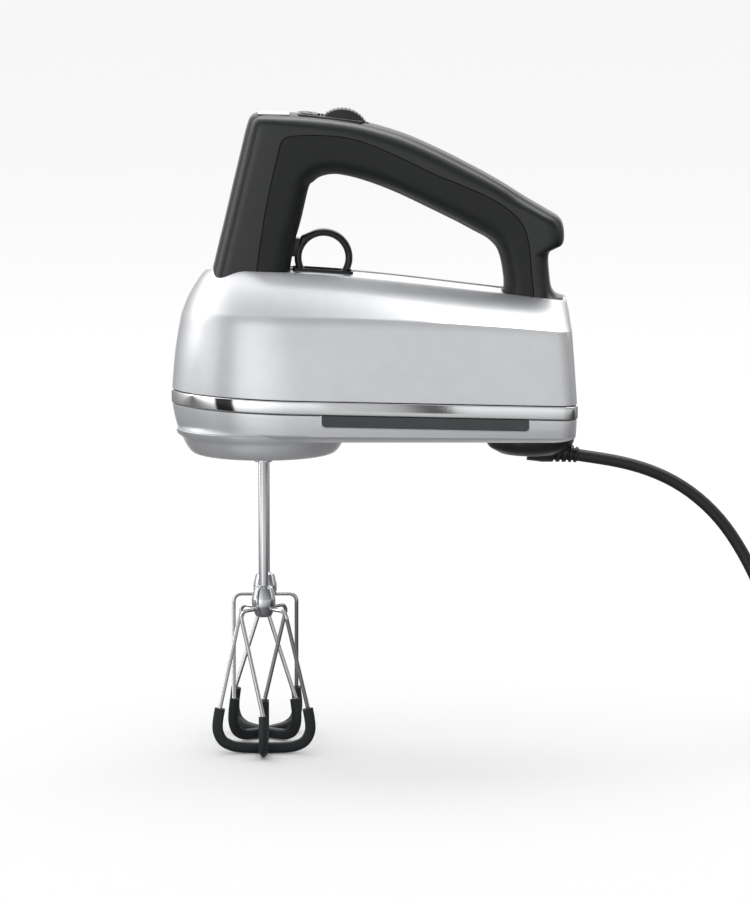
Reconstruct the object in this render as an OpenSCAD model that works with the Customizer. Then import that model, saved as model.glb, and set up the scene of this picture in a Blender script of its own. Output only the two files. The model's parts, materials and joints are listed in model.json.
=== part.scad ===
// Hand mixer with two scraper beaters, a worm drive and a swivel cord.
// X runs from the nose (-) to the heel (+), Y across, Z up.
// Heights are worked out from the beaters' lowest point. held() then moves
// each piece so that the origin is in the middle of the hand grip.

/* [Body] */
// Length of the chrome band round the body
body_len = 204; // [200:1:208]
// Width of the band over the beaters
front_w = 81; // [80:1:83]
// Width of the band at the heel
rear_w = 86; // [85:1:88]
// Height of the chrome band
band_h = 7.1; // [6:0.1:8]
// Wall of the body shells
wall = 2.2; // [1.8:0.1:2.3]
// Height of the flat underside above the beaters' lowest point
floor_z = 160.5; // [160:0.5:161]
// Height of the turret's lower face
turret_z = 151; // [150:0.5:152]

/* [Handle] */
// Width of the handle
handle_w = 29; // [27:1:31]
// Height of the grip's middle, where the origin is
grip_z = 300; // [298:1:302]
// Radius of the speed wheel
wheel_r = 14; // [13:0.5:14.5]
// Width of the speed wheel
wheel_w = 9; // [7:0.5:10]

/* [Beaters] */
// Distance between the two beaters' axes
beater_gap = 42; // [41.6:0.1:42.4]
// Diameter of a beater's shaft
shaft_d = 5; // [4.8:0.1:5.2]
// Diameter of the bent wire
wire_d = 2.1; // [1.8:0.1:2.4]
// Radius of the cage at the rubber edges, to the wire's centre
cage_r = 23.8; // [22:0.2:24]
// How far a beater slides out of its spindle
beater_travel = 42; // [38:1:44]

/* [Ejector] */
// How far the pull ring slides up
ring_travel = 6.5; // [5:0.5:6.5]
// Radius of the finger hole in the ring
ring_hole_r = 11; // [10:0.5:11.5]
// Thickness of the ring round its hole
ring_wall = 3.6; // [3:0.2:4]

/* [Drive] */
// Teeth on each worm wheel
wheel_teeth = 28; // [28:1:28]
// Gear module
gear_module = 0.95; // [0.95:0.01:0.95]
// Diameter of the motor shaft
motor_shaft_d = 6; // [5:0.5:6]

/* [Cord] */
// Diameter of the cord
cord_d = 6.2; // [5.8:0.1:6.4]
// Radius of the coil at the middle of its turns
coil_r = 34; // [33:1:36]

/* [Hidden] */
$fn = 32;
eps = 0.01;

silver = [0.80, 0.81, 0.83];
chrome = [0.62, 0.64, 0.67];
charcoal = [0.17, 0.19, 0.20];
grip_grey = [0.13, 0.15, 0.16];
ring_black = [0.06, 0.06, 0.07];
steel = [0.72, 0.73, 0.75];
rubber = [0.10, 0.12, 0.13];
copper = [0.72, 0.40, 0.20];
nylon = [0.88, 0.87, 0.80];
board_green = [0.10, 0.35, 0.20];

// ---- small helpers ----
function lerp(a, b, k) = a + (b - a) * k;
function unit(v) = v / norm(v);
function polar(r, a, z) = [r * cos(a), r * sin(a), z];
function polar2(r, a) = [r * cos(a), r * sin(a)];
module held() translate([0, 0, -grip_z]) children();
module along_x(x0, x1, z) translate([x0, 0, z]) rotate([0, 90, 0]) linear_extrude(x1 - x0) children();
module across_y(w) rotate([90, 0, 0]) linear_extrude(w, center = true) children();
module block(x0, x1, y0, y1, z0, z1) translate([x0, y0, z0]) cube([x1 - x0, y1 - y0, z1 - z0]);
module pin(x, y, z0, z1, r) translate([x, y, z0]) cylinder(h = z1 - z0, r = r);
module mirrored_y() for (s = [1, -1]) scale_y(s) children();
module scale_y(s) if (s > 0) children(); else mirror([0, 1, 0]) children();

// Smooth curve through points: each span gets n steps.
function curve_at(p0, p1, p2, p3, t) =
    0.5 * (2 * p1 + (p2 - p0) * t + (2 * p0 - 5 * p1 + 4 * p2 - p3) * t * t
        + (3 * p1 - p0 - 3 * p2 + p3) * t * t * t);
function smooth(p, n) = let (m = len(p)) concat(
    [for (i = [0 : m - 2], k = [0 : n - 1])
        curve_at(p[max(i - 1, 0)], p[i], p[i + 1], p[min(i + 2, m - 1)], k / n)],
    [p[m - 1]]);

// Round tube along points, as one closed solid.
function tangent(p, i) = unit(p[min(i + 1, len(p) - 1)] - p[max(i - 1, 0)]);
function side_at(t, s) = unit(s - (s * t) * t);
function side_list(p, i, s) = i >= len(p) ? [] :
    let (a = side_at(tangent(p, i), s)) concat([a], side_list(p, i + 1, a));
module tube(p, r, n, first_side) {
    m = len(p);
    a = side_list(p, 0, first_side);
    rings = [for (i = [0 : m - 1]) let (b = cross(tangent(p, i), a[i]))
        for (k = [0 : n - 1]) p[i] + r * (cos(360 * k / n) * a[i] + sin(360 * k / n) * b)];
    polyhedron(points = rings, faces = concat(
        [[for (k = [0 : n - 1]) k]],
        [[for (k = [n - 1 : -1 : 0]) (m - 1) * n + k]],
        [for (i = [0 : m - 2], k = [0 : n - 1]) let (j = (k + 1) % n)
            [i * n + k, (i + 1) * n + k, (i + 1) * n + j, i * n + j]]));
}

// ---- body shells ----
nose_x = -body_len / 2;
rear_x = body_len / 2;
front_half = front_w / 2;
rear_half = rear_w / 2;
corner_r = 8;
nose_power = 0.588;
band_front_z = 176.2;
band_tilt = 0.0176;
function band_bottom(x) = band_front_z - band_tilt * (x - nose_x);
function band_top(x) = band_bottom(x) + band_h;
function crease(x) = 223.5 - 0.00029 * pow(max(x + 57, 0), 2);
function ridge(x) = x < 20 ? 244.6 - 0.0006 * pow(x + 80, 2) : 238.6 - 0.12 * (x - 20);
function upper_z(u, x) = u <= 1 ? lerp(band_top(x), crease(x), u)
    : lerp(crease(x), ridge(x), u - 1);
function lower_z(v, x) = lerp(band_bottom(x), floor_z, v);

// Each row: level, nose and heel setback, front and rear narrowing, nose length.
// Upper levels: 0 at the band, 1 at the crease, 2 at the flat top.
upper_rows = [
    [0.0, 0.4, 0.4, 0.3, 0.4, 66], [0.5, 2.2, 1.7, 1.5, 0.9, 62],
    [0.93, 5.2, 2.9, 3.9, 1.6, 57], [1.0, 6.1, 3.1, 5.2, 2.1, 55],
    [1.3, 8.6, 3.7, 9.8, 9.0, 50], [1.6, 12.1, 4.2, 15.5, 16.5, 42],
    [1.9, 16.6, 4.9, 23.2, 25.2, 28], [2.0, 19.7, 5.7, 26.2, 28.7, 20]
];
// Lower levels: 0 at the band, 1 at the flat underside.
lower_rows = [
    [0.0, 0.5, 0.5, 0.4, 0.4, 66], [0.75, 3.0, 1.0, 1.4, 1.6, 62],
    [1.0, 5.2, 5.0, 6.5, 8.5, 58]
];
// Turret: height above its lower face, half-length, half-width.
turret_x = -55.3;
turret_rows = [[11.5, 41.6, 36], [6.9, 40.4, 35.6], [1.5, 37.3, 34], [0, 35.5, 32.5]];

// Half of a plan outline, from the nose tip to the middle of the heel.
nose_steps = [0 : 11.25 : 90];
straight_steps = [1 : 6];
corner_steps = [90 : -30 : 0];
function half_plan(x0, x1, wf, wr, nose) = concat(
    [for (a = nose_steps) [x0 + nose * (1 - cos(a)), wf * pow(sin(a), 2 * nose_power)]],
    [for (i = straight_steps) let (k = i / 7)
        [lerp(x0 + nose, x1 - corner_r, k), lerp(wf, wr, k)]],
    [for (a = corner_steps) [x1 - corner_r + corner_r * cos(a), wr - corner_r + corner_r * sin(a)]],
    [[x1, 0]]);
function whole_plan(h) = let (m = len(h) - 1) concat(
    h, [for (i = [m - 1 : -1 : 1]) [h[i][0], -h[i][1]]]);
function plan(row, d) = whole_plan(half_plan(nose_x + row[1] + d, rear_x - row[2] - d,
    front_half - row[3] - d, rear_half - row[4] - d, row[5]));
function ellipse(row) = [for (a = [180 : -15 : -165])
    [turret_x + row[1] * cos(a), row[2] * sin(a), turret_z + row[0]]];

// Solid between rings that each start at the nose and are symmetric in Y.
module loft(rings) {
    n = len(rings[0]);
    m = len(rings);
    h = n / 2;
    top = (m - 1) * n;
    strips = [for (i = [0 : h - 1]) [i, i + 1, (n - i - 1) % n, (n - i) % n]];
    polyhedron(points = [for (r = rings) each r], faces = concat(
        [for (s = strips) tidy_face([s[3], s[2], s[1], s[0]])],
        [for (s = strips) tidy_face([for (i = s) top + i])],
        [for (k = [0 : m - 2], i = [0 : n - 1]) let (a = k * n + i, b = k * n + (i + 1) % n)
            each [[a, b, b + n], [a, b + n, a + n]]]));
}
function tidy_face(f) = [for (i = [0 : 3]) if (f[i] != f[(i + 1) % 4]) f[i]];

// Upper shell's volume, inset by d, with its lower edge moved down by sink.
module upper_loft(d, sink) loft([for (row = upper_rows)
    [for (p = plan(row, d)) [p[0], p[1],
        upper_z(row[0], p[0]) - (row[0] == 2 ? d : 0) - (row[0] == 0 ? sink : 0)]]]);
// Lower shell's volume, inset by d, with its upper edge moved up by rise.
module lower_loft(d, rise) loft([for (i = [len(lower_rows) - 1 : -1 : 0]) let (row = lower_rows[i])
    [for (p = plan(row, d)) [p[0], p[1],
        lower_z(row[0], p[0]) + (row[0] == 1 ? d : 0) + (row[0] == 0 ? rise : 0)]]]);
module turret_loft(d, rise) loft([for (i = [len(turret_rows) - 1 : -1 : 0]) let (row = turret_rows[i])
    [for (p = ellipse([row[0], row[1] - d, row[2] - d])) [p[0], p[1],
        p[2] + (i == len(turret_rows) - 1 ? d : 0) + (i == 0 ? rise : 0)]]]);
module band_loft(d, sink, rise) loft([for (k = [0, 1])
    [for (p = plan([0, 0, 0, 0, 0, 66], d)) [p[0], p[1],
        k == 0 ? band_bottom(p[0]) - sink : band_top(p[0]) + rise]]]);

// Screw posts that join the two shells.
post_r = 4;
screw_r = 1.5;
post_places = [[-14, 33], [88, 27]];
post_split = 181;
screw_head_r = 2.9;
screw_head_z = 164;
// Slot in the body's top that the pull ring slides in.
ring_slot = [-41, -9.5, 4.6];

module upper_housing() color(silver) held() {
    difference() {
        union() {
            difference() {
                upper_loft(0, 0);
                upper_loft(wall, 1);
            }
            intersection() {
                mirrored_y() for (p = post_places) pin(p[0], p[1], post_split + 4, 232, post_r);
                upper_loft(0.5, 0);
            }
        }
        mirrored_y() for (p = post_places) pin(p[0], p[1], 180, 196, screw_r + 0.05);
        block(ring_slot[0], ring_slot[1], -ring_slot[2], ring_slot[2], 225, 250);
        block(-74, -48, -8, 8, 225, 250);
        block(72, 82, -4, 4, 215, 245);
        for (x = handle_screw_x) pin(x, 0, 220, 250, screw_r + 0.05);
        mirrored_y() pin(beater_x, beater_y, worm_z - 4, worm_z + 4, gear_r + 1.3);
    }
}

module trim_band() color(chrome) held() difference() {
    band_loft(0, 0, 0);
    band_loft(wall + 0.6, 1, 1);
}

rail_x = [-25.9, 77.5];
rail_h = 5.8;
rail_depth = 1.5;
module rail_zone(gap, over) translate([rail_x[0], 0, band_bottom(rail_x[0])])
    rotate([0, atan(band_tilt), 0]) translate([gap, -60, -rail_h + gap])
        cube([rail_x[1] - rail_x[0] - 2 * gap, 120, rail_h - gap + over]);
module case_rail(s) intersection() {
    difference() {
        lower_loft(0.5, 0);
        lower_loft(rail_depth, 0.5);
    }
    rail_zone(0.02, -0.02);
    scale_y(s) block(-60, 100, 20, 60, 150, 190);
}
module left_case_rail() color(ring_black) held() case_rail(-1);
module right_case_rail() color(ring_black) held() case_rail(1);

beater_x = -55.3;
beater_y = beater_gap / 2;
spindle_r = 4.6;
bush_r = 7;
swivel_x = 79;
stem_r = 7.5;

turret_wall = wall + 0.8;
module lower_housing() color(silver) held() difference() {
    union() {
        difference() {
            union() {
                lower_loft(0, 0);
                turret_loft(0, 0);
            }
            lower_loft(wall, 1);
            turret_loft(turret_wall, 2.6);
        }
        mirrored_y() for (p = post_places) pin(p[0], p[1], floor_z + 1, post_split + 4, post_r);
        mirrored_y() pin(beater_x, beater_y, turret_z + 1, turret_z + 7, bush_r + 2);
        pin(swivel_x, 0, floor_z + 1, floor_z + 5, stem_r + 2.5);
    }
    difference() {
        rail_zone(0, 1);
        lower_loft(rail_depth, 0.5);
        block(-60, 100, -30, 30, 150, 190);
    }
    mirrored_y() for (p = post_places) {
        pin(p[0], p[1], 150, 200, screw_r + 0.05);
        pin(p[0], p[1], 150, screw_head_z, screw_head_r + 0.05);
    }
    mirrored_y() pin(beater_x, beater_y, 140, 170, bush_r * 1.01);
    pin(swivel_x, 0, 150, 170, stem_r + 0.05);
}

// ---- handle ----
// Outer silhouette from the front foot to the heel foot.
handle_front = [[-80.2, 244.9], [-78.4, 252], [-73.1, 274], [-66.6, 301], [-63.1, 315.5],
    [-61.3, 320], [-58.2, 322.2], [-52, 322.5]];
handle_top = smooth([[-44, 322.2], [-33.1, 321.6], [-5.4, 317.7], [3.1, 315.8], [32.1, 304.4],
    [61.1, 289], [75.5, 280.3], [92.4, 270.2]], 4);
handle_heel = [[94.3, 267.6], [95.3, 263.5], [95.2, 259.3], [94, 255.8], [90.5, 254.6],
    [88.2, 253.6], [87.3, 251], [87.8, 243], [88.9, 234.5], [90.5, 231.6], [94.5, 229.9]];
// Seam between the shell and the softer grip.
handle_seam = smooth([[-58.5, 244.8], [-54.9, 269.5], [-49.1, 298.8], [-46.9, 307.6],
    [-41.9, 311.8], [-25.9, 312.4], [-8.5, 310.3], [10.4, 302.5], [32.1, 292.2], [53.8, 283.3],
    [61.5, 279.2], [69.2, 273.7], [74.6, 267.5], [77.4, 260.1], [78.5, 251.4], [80.2, 232.2]], 3);
// Edge of the hand opening, from the front post to the heel.
opening_edge = concat(
    smooth([[-41.1, 244.3], [-36.3, 269.2], [-32.4, 285.5], [-27.4, 290.3], [-19.6, 292.1],
        [-10.9, 290.8], [10.4, 283.4], [32.1, 273.1], [46.6, 265.7], [53.8, 261.5],
        [58.4, 258.3], [62.3, 253.9], [64.2, 248.4], [65.4, 240.6]], 3),
    [[65.6, 236.6], [63.8, 233.9]]);
seam_gap = 0.15;
handle_screw_x = [-66, 84.5];
wheel_at = [-15.8, 311];
slope = 6.8;
post_back_lean = 9.8;
module in_post() translate([-41.1, 0, 244.3]) rotate([0, post_back_lean, 0]) children();
module on_display() translate([-50, 0, 322.3]) rotate([0, 1.5, 0]) children();
module on_handle_top(x) translate([x, 0, 321.9 - (x + 38) * tan(slope)]) rotate([0, slope, 0]) children();

function foot_line(x0, x1) = [for (k = [0 : 4]) let (x = lerp(x0, x1, k / 4)) [x, ridge(x) + 0.1]];
function drop(p, d) = [for (q = p) [q[0], q[1] - d]];
function flip(p) = [for (i = [len(p) - 1 : -1 : 0]) p[i]];

module control_pockets() {
    translate([wheel_at[0], 0, wheel_at[1]]) rotate([90, 0, 0])
        cylinder(h = wheel_w + 1, r = wheel_r + 0.8, center = true);
    translate([wheel_at[0], 0, wheel_at[1]]) rotate([90, 0, 0])
        cylinder(h = handle_w - 6, r = 1.5, center = true);
    on_handle_top(-38) block(1.5, 11.2, -6.6, 6.6, -6, 4);
    on_display() block(-8.1, 8.1, -9, 9, -1.4, 4);
    translate([-78.6, 0, 246.5]) rotate([0, 13.5, 0]) block(3.5, 17, -11, 11, -6, 62);
    translate([-66, -8, 296]) cube([40, 16, 14]);
}

module handle_shell() color(charcoal) held() difference() {
    across_y(handle_w) polygon(concat(handle_front, handle_top, handle_heel,
        flip(foot_line(80.6, 92)), flip(handle_seam), flip(foot_line(-79, -59))));
    control_pockets();
    for (x = handle_screw_x) pin(x, 0, 225, ridge(x) + 12, screw_r + 0.05);
}

module handle_grip() color(grip_grey) held() difference() {
    across_y(handle_w - 0.6)
        polygon(concat(drop(handle_seam, seam_gap), flip(foot_line(66, 79.8)),
            flip(opening_edge), flip(foot_line(-57.5, -42))));
    control_pockets();
    in_post() block(-9, 4, -4.9, 4.9, -8, 44);
}

module control_bezel() color(charcoal) held() difference() {
    on_handle_top(-38) difference() {
        block(0, 35.5, -8.4, 8.4, 0.35, 1.4);
        block(1.5, 11.2, -6.6, 6.6, -2, 4);
    }
    translate([wheel_at[0], 0, wheel_at[1]]) rotate([90, 0, 0])
        cylinder(h = wheel_w + 1, r = wheel_r + 0.8, center = true);
}

module power_button() color(charcoal) held() on_handle_top(-38) union() {
    block(1.8, 10.9, -6.3, 6.3, 0.2, 2.5);
    block(3, 10, -5, 5, -2, 0.5);
    translate([6.5, 0, -3]) cylinder(h = 2, r = 2);
}
module button_spring() color(steel) held() on_handle_top(-38)
    tube([for (a = [0 : 30 : 1080]) [6.5 + 2.5 * cos(a), 2.5 * sin(a), -5.6 + a / 1080 * 3.2]], 0.25, 6,
        [1, 0, 0]);

wheel_ribs = 36;
module speed_wheel() color(charcoal) held() translate([wheel_at[0], 0, wheel_at[1]]) rotate([90, 0, 0])
    difference() {
        union() {
            cylinder(h = wheel_w, r = wheel_r - 0.5, center = true);
            cylinder(h = wheel_w - 2, r = wheel_r, center = true);
        }
        cylinder(h = wheel_w + 1, r = 1.55, center = true);
        for (s = [1, -1]) translate([0, 0, s * wheel_w / 2]) cylinder(h = 2.4, r = wheel_r - 3, center = true);
        for (i = [0 : wheel_ribs - 1]) rotate(i * 360 / wheel_ribs) translate([wheel_r + 0.25, 0, 0])
            cylinder(h = wheel_w + 1, r = 0.7, center = true, $fn = 8);
    }
module wheel_axle() color(steel) held() translate([wheel_at[0], 0, wheel_at[1]]) rotate([90, 0, 0])
    cylinder(h = handle_w - 6, r = 1.5, center = true);

module display_window() color(ring_black) held() on_display()
    block(-8, 8, -8.9, 8.9, -1.35, 0.15);

module control_board() color(board_green) held() union() {
    translate([-78.6, 0, 246.5]) rotate([0, 13.5, 0]) {
        block(8, 9.6, -10, 10, 14, 56);
        block(9.6, 13, -6, 6, 16, 24);
        block(9.6, 12, -4, 4, 32, 44);
        block(4.6, 8, -3, 3, 16, 24);
    }
}

// ---- pull ring and ejector ----
ring_at = [-25.1, 249.6];
ring_r = ring_hole_r + ring_wall;
ring_w = 8;
stem_x = [-28.5, -23.5];
lever_x = -40.5;
lever_z = 214;
lever_arm = 13.7;
lever_lean = 13.75;
plate_z = 206;

module eject_trigger() color(ring_black) held() union() {
    across_y(ring_w) difference() {
        union() {
            translate(ring_at) circle(r = ring_r, $fn = 64);
            polygon([[-27.6, 264], [-34.6, 261.4], [-36.9, 259.2], [-38.8, 250], [-39.4, 243],
                [-30, 240]]);
            polygon([[-34, 259.6], [-41.8, 259.6], [-43.4, 250.4], [-34, 250.4]]);
        }
        translate(ring_at) circle(r = ring_hole_r, $fn = 64);
    }
    block(stem_x[0], stem_x[1], -3, 3, 213, ring_at[1] - ring_hole_r - 2);
    block(stem_x[0] - 1, stem_x[1], -7, -4.8, 207.2, 215);
    block(stem_x[0] - 1, stem_x[1], 4.8, 7, 207.2, 215);
    block(stem_x[1] - 2, stem_x[1], -7, 7, 207.2, 215);
    block(stem_x[0] - 1, stem_x[1], -7, 7, 207.2, 208.7);
}

bezel_x = [-40.9, -10.2];
module trigger_bezel() color(ring_black) held() difference() {
    across_y(11.2) polygon(concat(
        [for (k = [0 : 4]) let (x = lerp(bezel_x[0], bezel_x[1], k / 4)) [x, ridge(x) + 0.1]],
        [for (k = [4 : -1 : 0]) let (x = lerp(bezel_x[0], bezel_x[1], k / 4)) [x, ridge(x) + 1.3]]));
    block(ring_slot[0] - 1, ring_slot[1] - 1.6, -4.2, 4.2, 225, 260);
}

module trigger_spring() color(steel) held() in_post()
    tube([for (a = [0 : 40 : 2520]) [-4.2 + 2.4 * cos(a), 2.4 * sin(a), 16.4 + a / 2520 * 26.8]], 0.35, 6, [1, 0, 0]);

module eject_lever() color(steel) held() translate([lever_x, 0, lever_z]) rotate([0, lever_lean, 0])
    difference() {
        union() {
            block(-lever_arm - 1, lever_arm + 1, -3.6, 3.6, -1, 1);
            rotate([90, 0, 0]) cylinder(h = 7.2, r = 3, center = true);
        }
        rotate([90, 0, 0]) cylinder(h = 9, r = 1.55, center = true);
    }
module lever_pin() color(steel) held() translate([lever_x, 0, lever_z]) rotate([90, 0, 0])
    cylinder(h = 14, r = 1.5, center = true);
cover_z = [194.9, 197.4];
module lever_bracket() color(nylon) held() difference() {
    union() {
        mirrored_y() block(lever_x - 3.4, lever_x + 3.4, 4.2, 7, cover_z[1], lever_z + 3);
        block(lever_x - 3.4, lever_x + 3.4, -12, 12, cover_z[1], cover_z[1] + 1.6);
    }
    translate([lever_x, 0, lever_z]) rotate([90, 0, 0]) cylinder(h = 20, r = 1.5, center = true);
}
shaft_top_z = 196;
module ejector_plate() color(nylon) held() union() {
    block(beater_x - 4, beater_x + 3, -beater_y - 4, beater_y + 4, plate_z, plate_z + 2.4);
    block(beater_x - 2, beater_x + 3, -4, 4, plate_z + 2, 215.6);
    mirrored_y() pin(beater_x, beater_y, shaft_top_z + ring_travel + 0.1, plate_z + 1, 1.6);
}

// ---- beaters ----
hub_z = [70.2, 85.5];
shoulder_r = 16;
shoulder_z = 74.5;
sleeve_z = 22.4;
twist = 45;
wire_r = wire_d / 2;
sleeve_r = 2.65;
spindle_z = [149.2, 198];
socket_r = shaft_d / 2 + 0.05;
drive_z = 182;

// One arm: out of the hub, round the shoulder, slanting down, in to the bottom.
function arm_top(a) = [polar(3, a, shoulder_z), polar(shoulder_r - 4, a, shoulder_z),
    polar(shoulder_r - 1.2, a, shoulder_z - 1.1), polar(shoulder_r, a + 1, shoulder_z - 4)];
function arm_low(a, z) = [polar(cage_r - 1.6, a, sleeve_z + 0.6), polar(cage_r - 0.4, a, 15.5),
    polar(cage_r - 0.7, a, 10.5), polar(cage_r - 3, a, 6.2), polar(cage_r - 7, a, 3.9),
    polar(cage_r - 12, a, 2.9), polar(0.01, a, z)];
function loop_low(a, z) = concat(arm_low(a, z), [for (i = [5 : -1 : 0]) arm_low(a + 180, z)[i]]);
function wire_loop(a, z) = concat(arm_top(a), loop_low(a + twist, z), flip(arm_top(a + 180)));

module beater_shaft(y) translate([beater_x, y, 0]) union() {
    rotate_extrude() polygon([[0, hub_z[0]], [4.2, hub_z[0]], [6, hub_z[0] + 5.5],
        [6, hub_z[1] - 6], [4.8, hub_z[1] - 1], [3, hub_z[1]], [0, hub_z[1]]]);
    pin(0, 0, hub_z[1] - 4, drive_z, shaft_d / 2);
    translate([0, 0, drive_z - 1]) cylinder(h = shaft_top_z - drive_z + 1, r = shaft_d / 2, $fn = 4);
}
module beater_wires(y, a0) translate([beater_x, y, 0]) difference() {
    union() {
        tube(wire_loop(a0, 1.6), wire_r, 8, [0, 0, 1]);
        tube(wire_loop(a0 + 90, 3.8), wire_r, 8, [0, 0, 1]);
    }
    translate([0, 0, hub_z[0] - 1]) cylinder(h = 20, r = 6.05);
}
module scraper(y, a0) translate([beater_x, y, 0])
    for (a = [a0, a0 + 90]) tube(loop_low(a + twist, sleeve_r), sleeve_r, 8, [0, 0, 1]);
module left_beater_shaft() color(steel) held() beater_shaft(-beater_y);
module right_beater_shaft() color(steel) held() beater_shaft(beater_y);
module left_beater_wires() color(steel) held() beater_wires(-beater_y, 45);
module right_beater_wires() color(steel) held() beater_wires(beater_y, 0);
module left_scraper() color(rubber) held() scraper(-beater_y, 45);
module right_scraper() color(rubber) held() scraper(beater_y, 0);

// ---- spindles and worm drive ----
worm_z = 186;
gear_r = wheel_teeth * gear_module / 2;
worm_r = beater_y - gear_r;
worm_starts = 2;
lead = worm_starts * PI * gear_module;
lead_angle = atan(lead / (2 * PI * worm_r));
gear_face = 6;
worm_x = [-67, -43.5];

module spindle(y) translate([beater_x, y, 0]) difference() {
    union() {
        pin(0, 0, spindle_z[0], spindle_z[1], spindle_r);
        pin(0, 0, 176, 180.5, spindle_r + 1.4);
    }
    pin(0, 0, spindle_z[0] - 1, drive_z + 0.1, socket_r);
    translate([0, 0, drive_z]) cylinder(h = 20, r = shaft_d / 2 + 0.1, $fn = 4);
}
module left_spindle() color(steel) held() spindle(-beater_y);
module right_spindle() color(steel) held() spindle(beater_y);

// Worm wheel with slanted teeth; one tooth points along X turned by phase.
tip_half = 1.1;
root_half = 3.6;
tooth_angle = 360 / wheel_teeth;
gear_outline = [for (i = [0 : wheel_teeth - 1]) let (a = i * tooth_angle)
    each [polar2(gear_r - 1.3, a - root_half), polar2(gear_r + 0.75, a - tip_half),
        polar2(gear_r + 0.75, a + tip_half), polar2(gear_r - 1.3, a + root_half)]];
gear_twist = 360 * gear_face * tan(lead_angle) / (2 * PI * gear_r);
module worm_wheel(y, phase) translate([beater_x, y, worm_z]) difference() {
    union() {
        rotate(phase - gear_twist / 2) translate([0, 0, -gear_face / 2])
            linear_extrude(gear_face, twist = -gear_twist, slices = 1) polygon(gear_outline);
        translate([0, 0, -5.4]) cylinder(h = 10.4, r = 7.5);
    }
    cylinder(h = 20, r = spindle_r, center = true);
}
module left_worm_wheel() color(nylon) held() worm_wheel(-beater_y, 90);
module right_worm_wheel() color(nylon) held() worm_wheel(beater_y, -90);

// Worm: the section through a two-start thread, turned along the shaft.
thread_out = worm_r + 0.7;
thread_root = worm_r - 1.15;
crest_a = 25;
flank_a = 57;
thread_section = [for (start = [0, 180]) each [
    polar2(thread_root, start - flank_a), polar2(thread_out, start - crest_a),
    polar2(thread_out, start), polar2(thread_out, start + crest_a),
    polar2(thread_root, start + flank_a), polar2(thread_root, start + 90)]];
worm_len = worm_x[1] - worm_x[0];
worm_turn = 360 * worm_len / lead;
// Puts a gap of the thread opposite the wheels' teeth, over the beaters' axes.
worm_phase = 360 * (beater_x - worm_x[0]) / lead;
module drive_worm() color(nylon) held() translate([worm_x[0], 0, worm_z]) rotate([0, 90, 0])
    difference() {
        rotate(-worm_phase) linear_extrude(worm_len, twist = -worm_turn, slices = 70)
            polygon(thread_section);
        translate([0, 0, -1]) cylinder(h = worm_len + 2, r = motor_shaft_d / 2);
    }

// ---- gearbox ----
frame_z = [164, 167.5];
tower_front = [-77.5, -72.5];
tower_back = [-38, -33];
bearing_r = 6;
cover_outline = [[-80, -18], [-66, -30], [-44, -32.5], [-31, -32.5], [-31, 32.5], [-44, 32.5],
    [-66, 30], [-80, 18]];
gear_screw_places = [[-75, 14], [-35.5, 14]];
module gear_frame() color([0.55, 0.56, 0.58]) held() difference() {
    union() {
        translate([0, 0, frame_z[0]]) linear_extrude(frame_z[1] - frame_z[0]) polygon(cover_outline);
        block(tower_front[0], tower_front[1], -17, 17, frame_z[1] - 1, cover_z[0]);
        block(tower_back[0], tower_back[1], -17, 17, frame_z[1] - 1, cover_z[0]);
        mirrored_y() for (x = [-73, -36.5]) pin(x, 12, turret_z + turret_wall + 0.05, frame_z[0] + 1, 3);
        mirrored_y() pin(beater_x, beater_y, frame_z[0] - 4, frame_z[0] + 1, bush_r + 2);
    }
    translate([-90, 0, worm_z]) rotate([0, 90, 0]) cylinder(h = 70, r = bearing_r);
    mirrored_y() pin(beater_x, beater_y, 150, 175, bush_r);
    mirrored_y() for (p = gear_screw_places) pin(p[0], p[1], cover_z[0] - 12, 200, 1.2);
}
module gearbox_cover() color(nylon) held() difference() {
    translate([0, 0, cover_z[0]]) linear_extrude(cover_z[1] - cover_z[0]) polygon(cover_outline);
    mirrored_y() pin(beater_x, beater_y, 190, 200, spindle_r + 0.06);
    mirrored_y() for (p = gear_screw_places) pin(p[0], p[1], 190, 200, 1.2);
}
module gearbox_screws() color(steel) held() mirrored_y() for (p = gear_screw_places) {
    pin(p[0], p[1], cover_z[0] - 11, cover_z[1] + 1, 1.2);
    pin(p[0], p[1], cover_z[1], cover_z[1] + 1.8, 2.4);
}
module spindle_bushes() color([0.75, 0.55, 0.30]) held() mirrored_y() difference() {
    pin(beater_x, beater_y, turret_z, frame_z[1], bush_r);
    pin(beater_x, beater_y, 150, 170, spindle_r + 0.06);
}

// ---- motor ----
stack_x = [-14, 20];
bore_r = 13;
core_r = 12.4;
shaft_x = [-79, 54];
commutator_x = [31, 41];
commutator_r = 7.5;
stator_half = 22;
bracket_x = [46, 51];

module motor_stator() color([0.45, 0.46, 0.48]) held() difference() {
    along_x(stack_x[0], stack_x[1], worm_z) difference() {
        square(2 * stator_half, center = true);
        circle(r = bore_r);
        for (s = [1, -1]) translate([s * 17, 0]) square([4, 26], center = true);
        for (a = [45 : 90 : 315]) rotate(a) translate([29.5, 0]) square([6, 16], center = true);
    }
}
module coil_ring(s) translate([0, 0, s * 17]) difference() {
    block(stack_x[0] - 5, stack_x[1] + 5, -12.8, 12.8, -1.8, 1.8);
    block(stack_x[0] - 0.1, stack_x[1] + 0.1, -20, 20, -3, 3);
}
module field_coils() color(copper) held() translate([0, 0, worm_z]) for (s = [1, -1]) union() {
    coil_ring(s);
    block(stack_x[0] - 1, stack_x[1] + 1, -12.8, 12.8, s * 17 - 1.8, s * 17 + 1.8);
}
armature_slots = 10;
module armature_core() color([0.50, 0.51, 0.53]) held() along_x(stack_x[0], stack_x[1], worm_z) difference() {
    circle(r = core_r);
    circle(r = motor_shaft_d / 2);
    for (i = [0 : armature_slots - 1]) rotate(i * 36) translate([9.6, 0]) square([5, 2.4], center = true);
}
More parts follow.
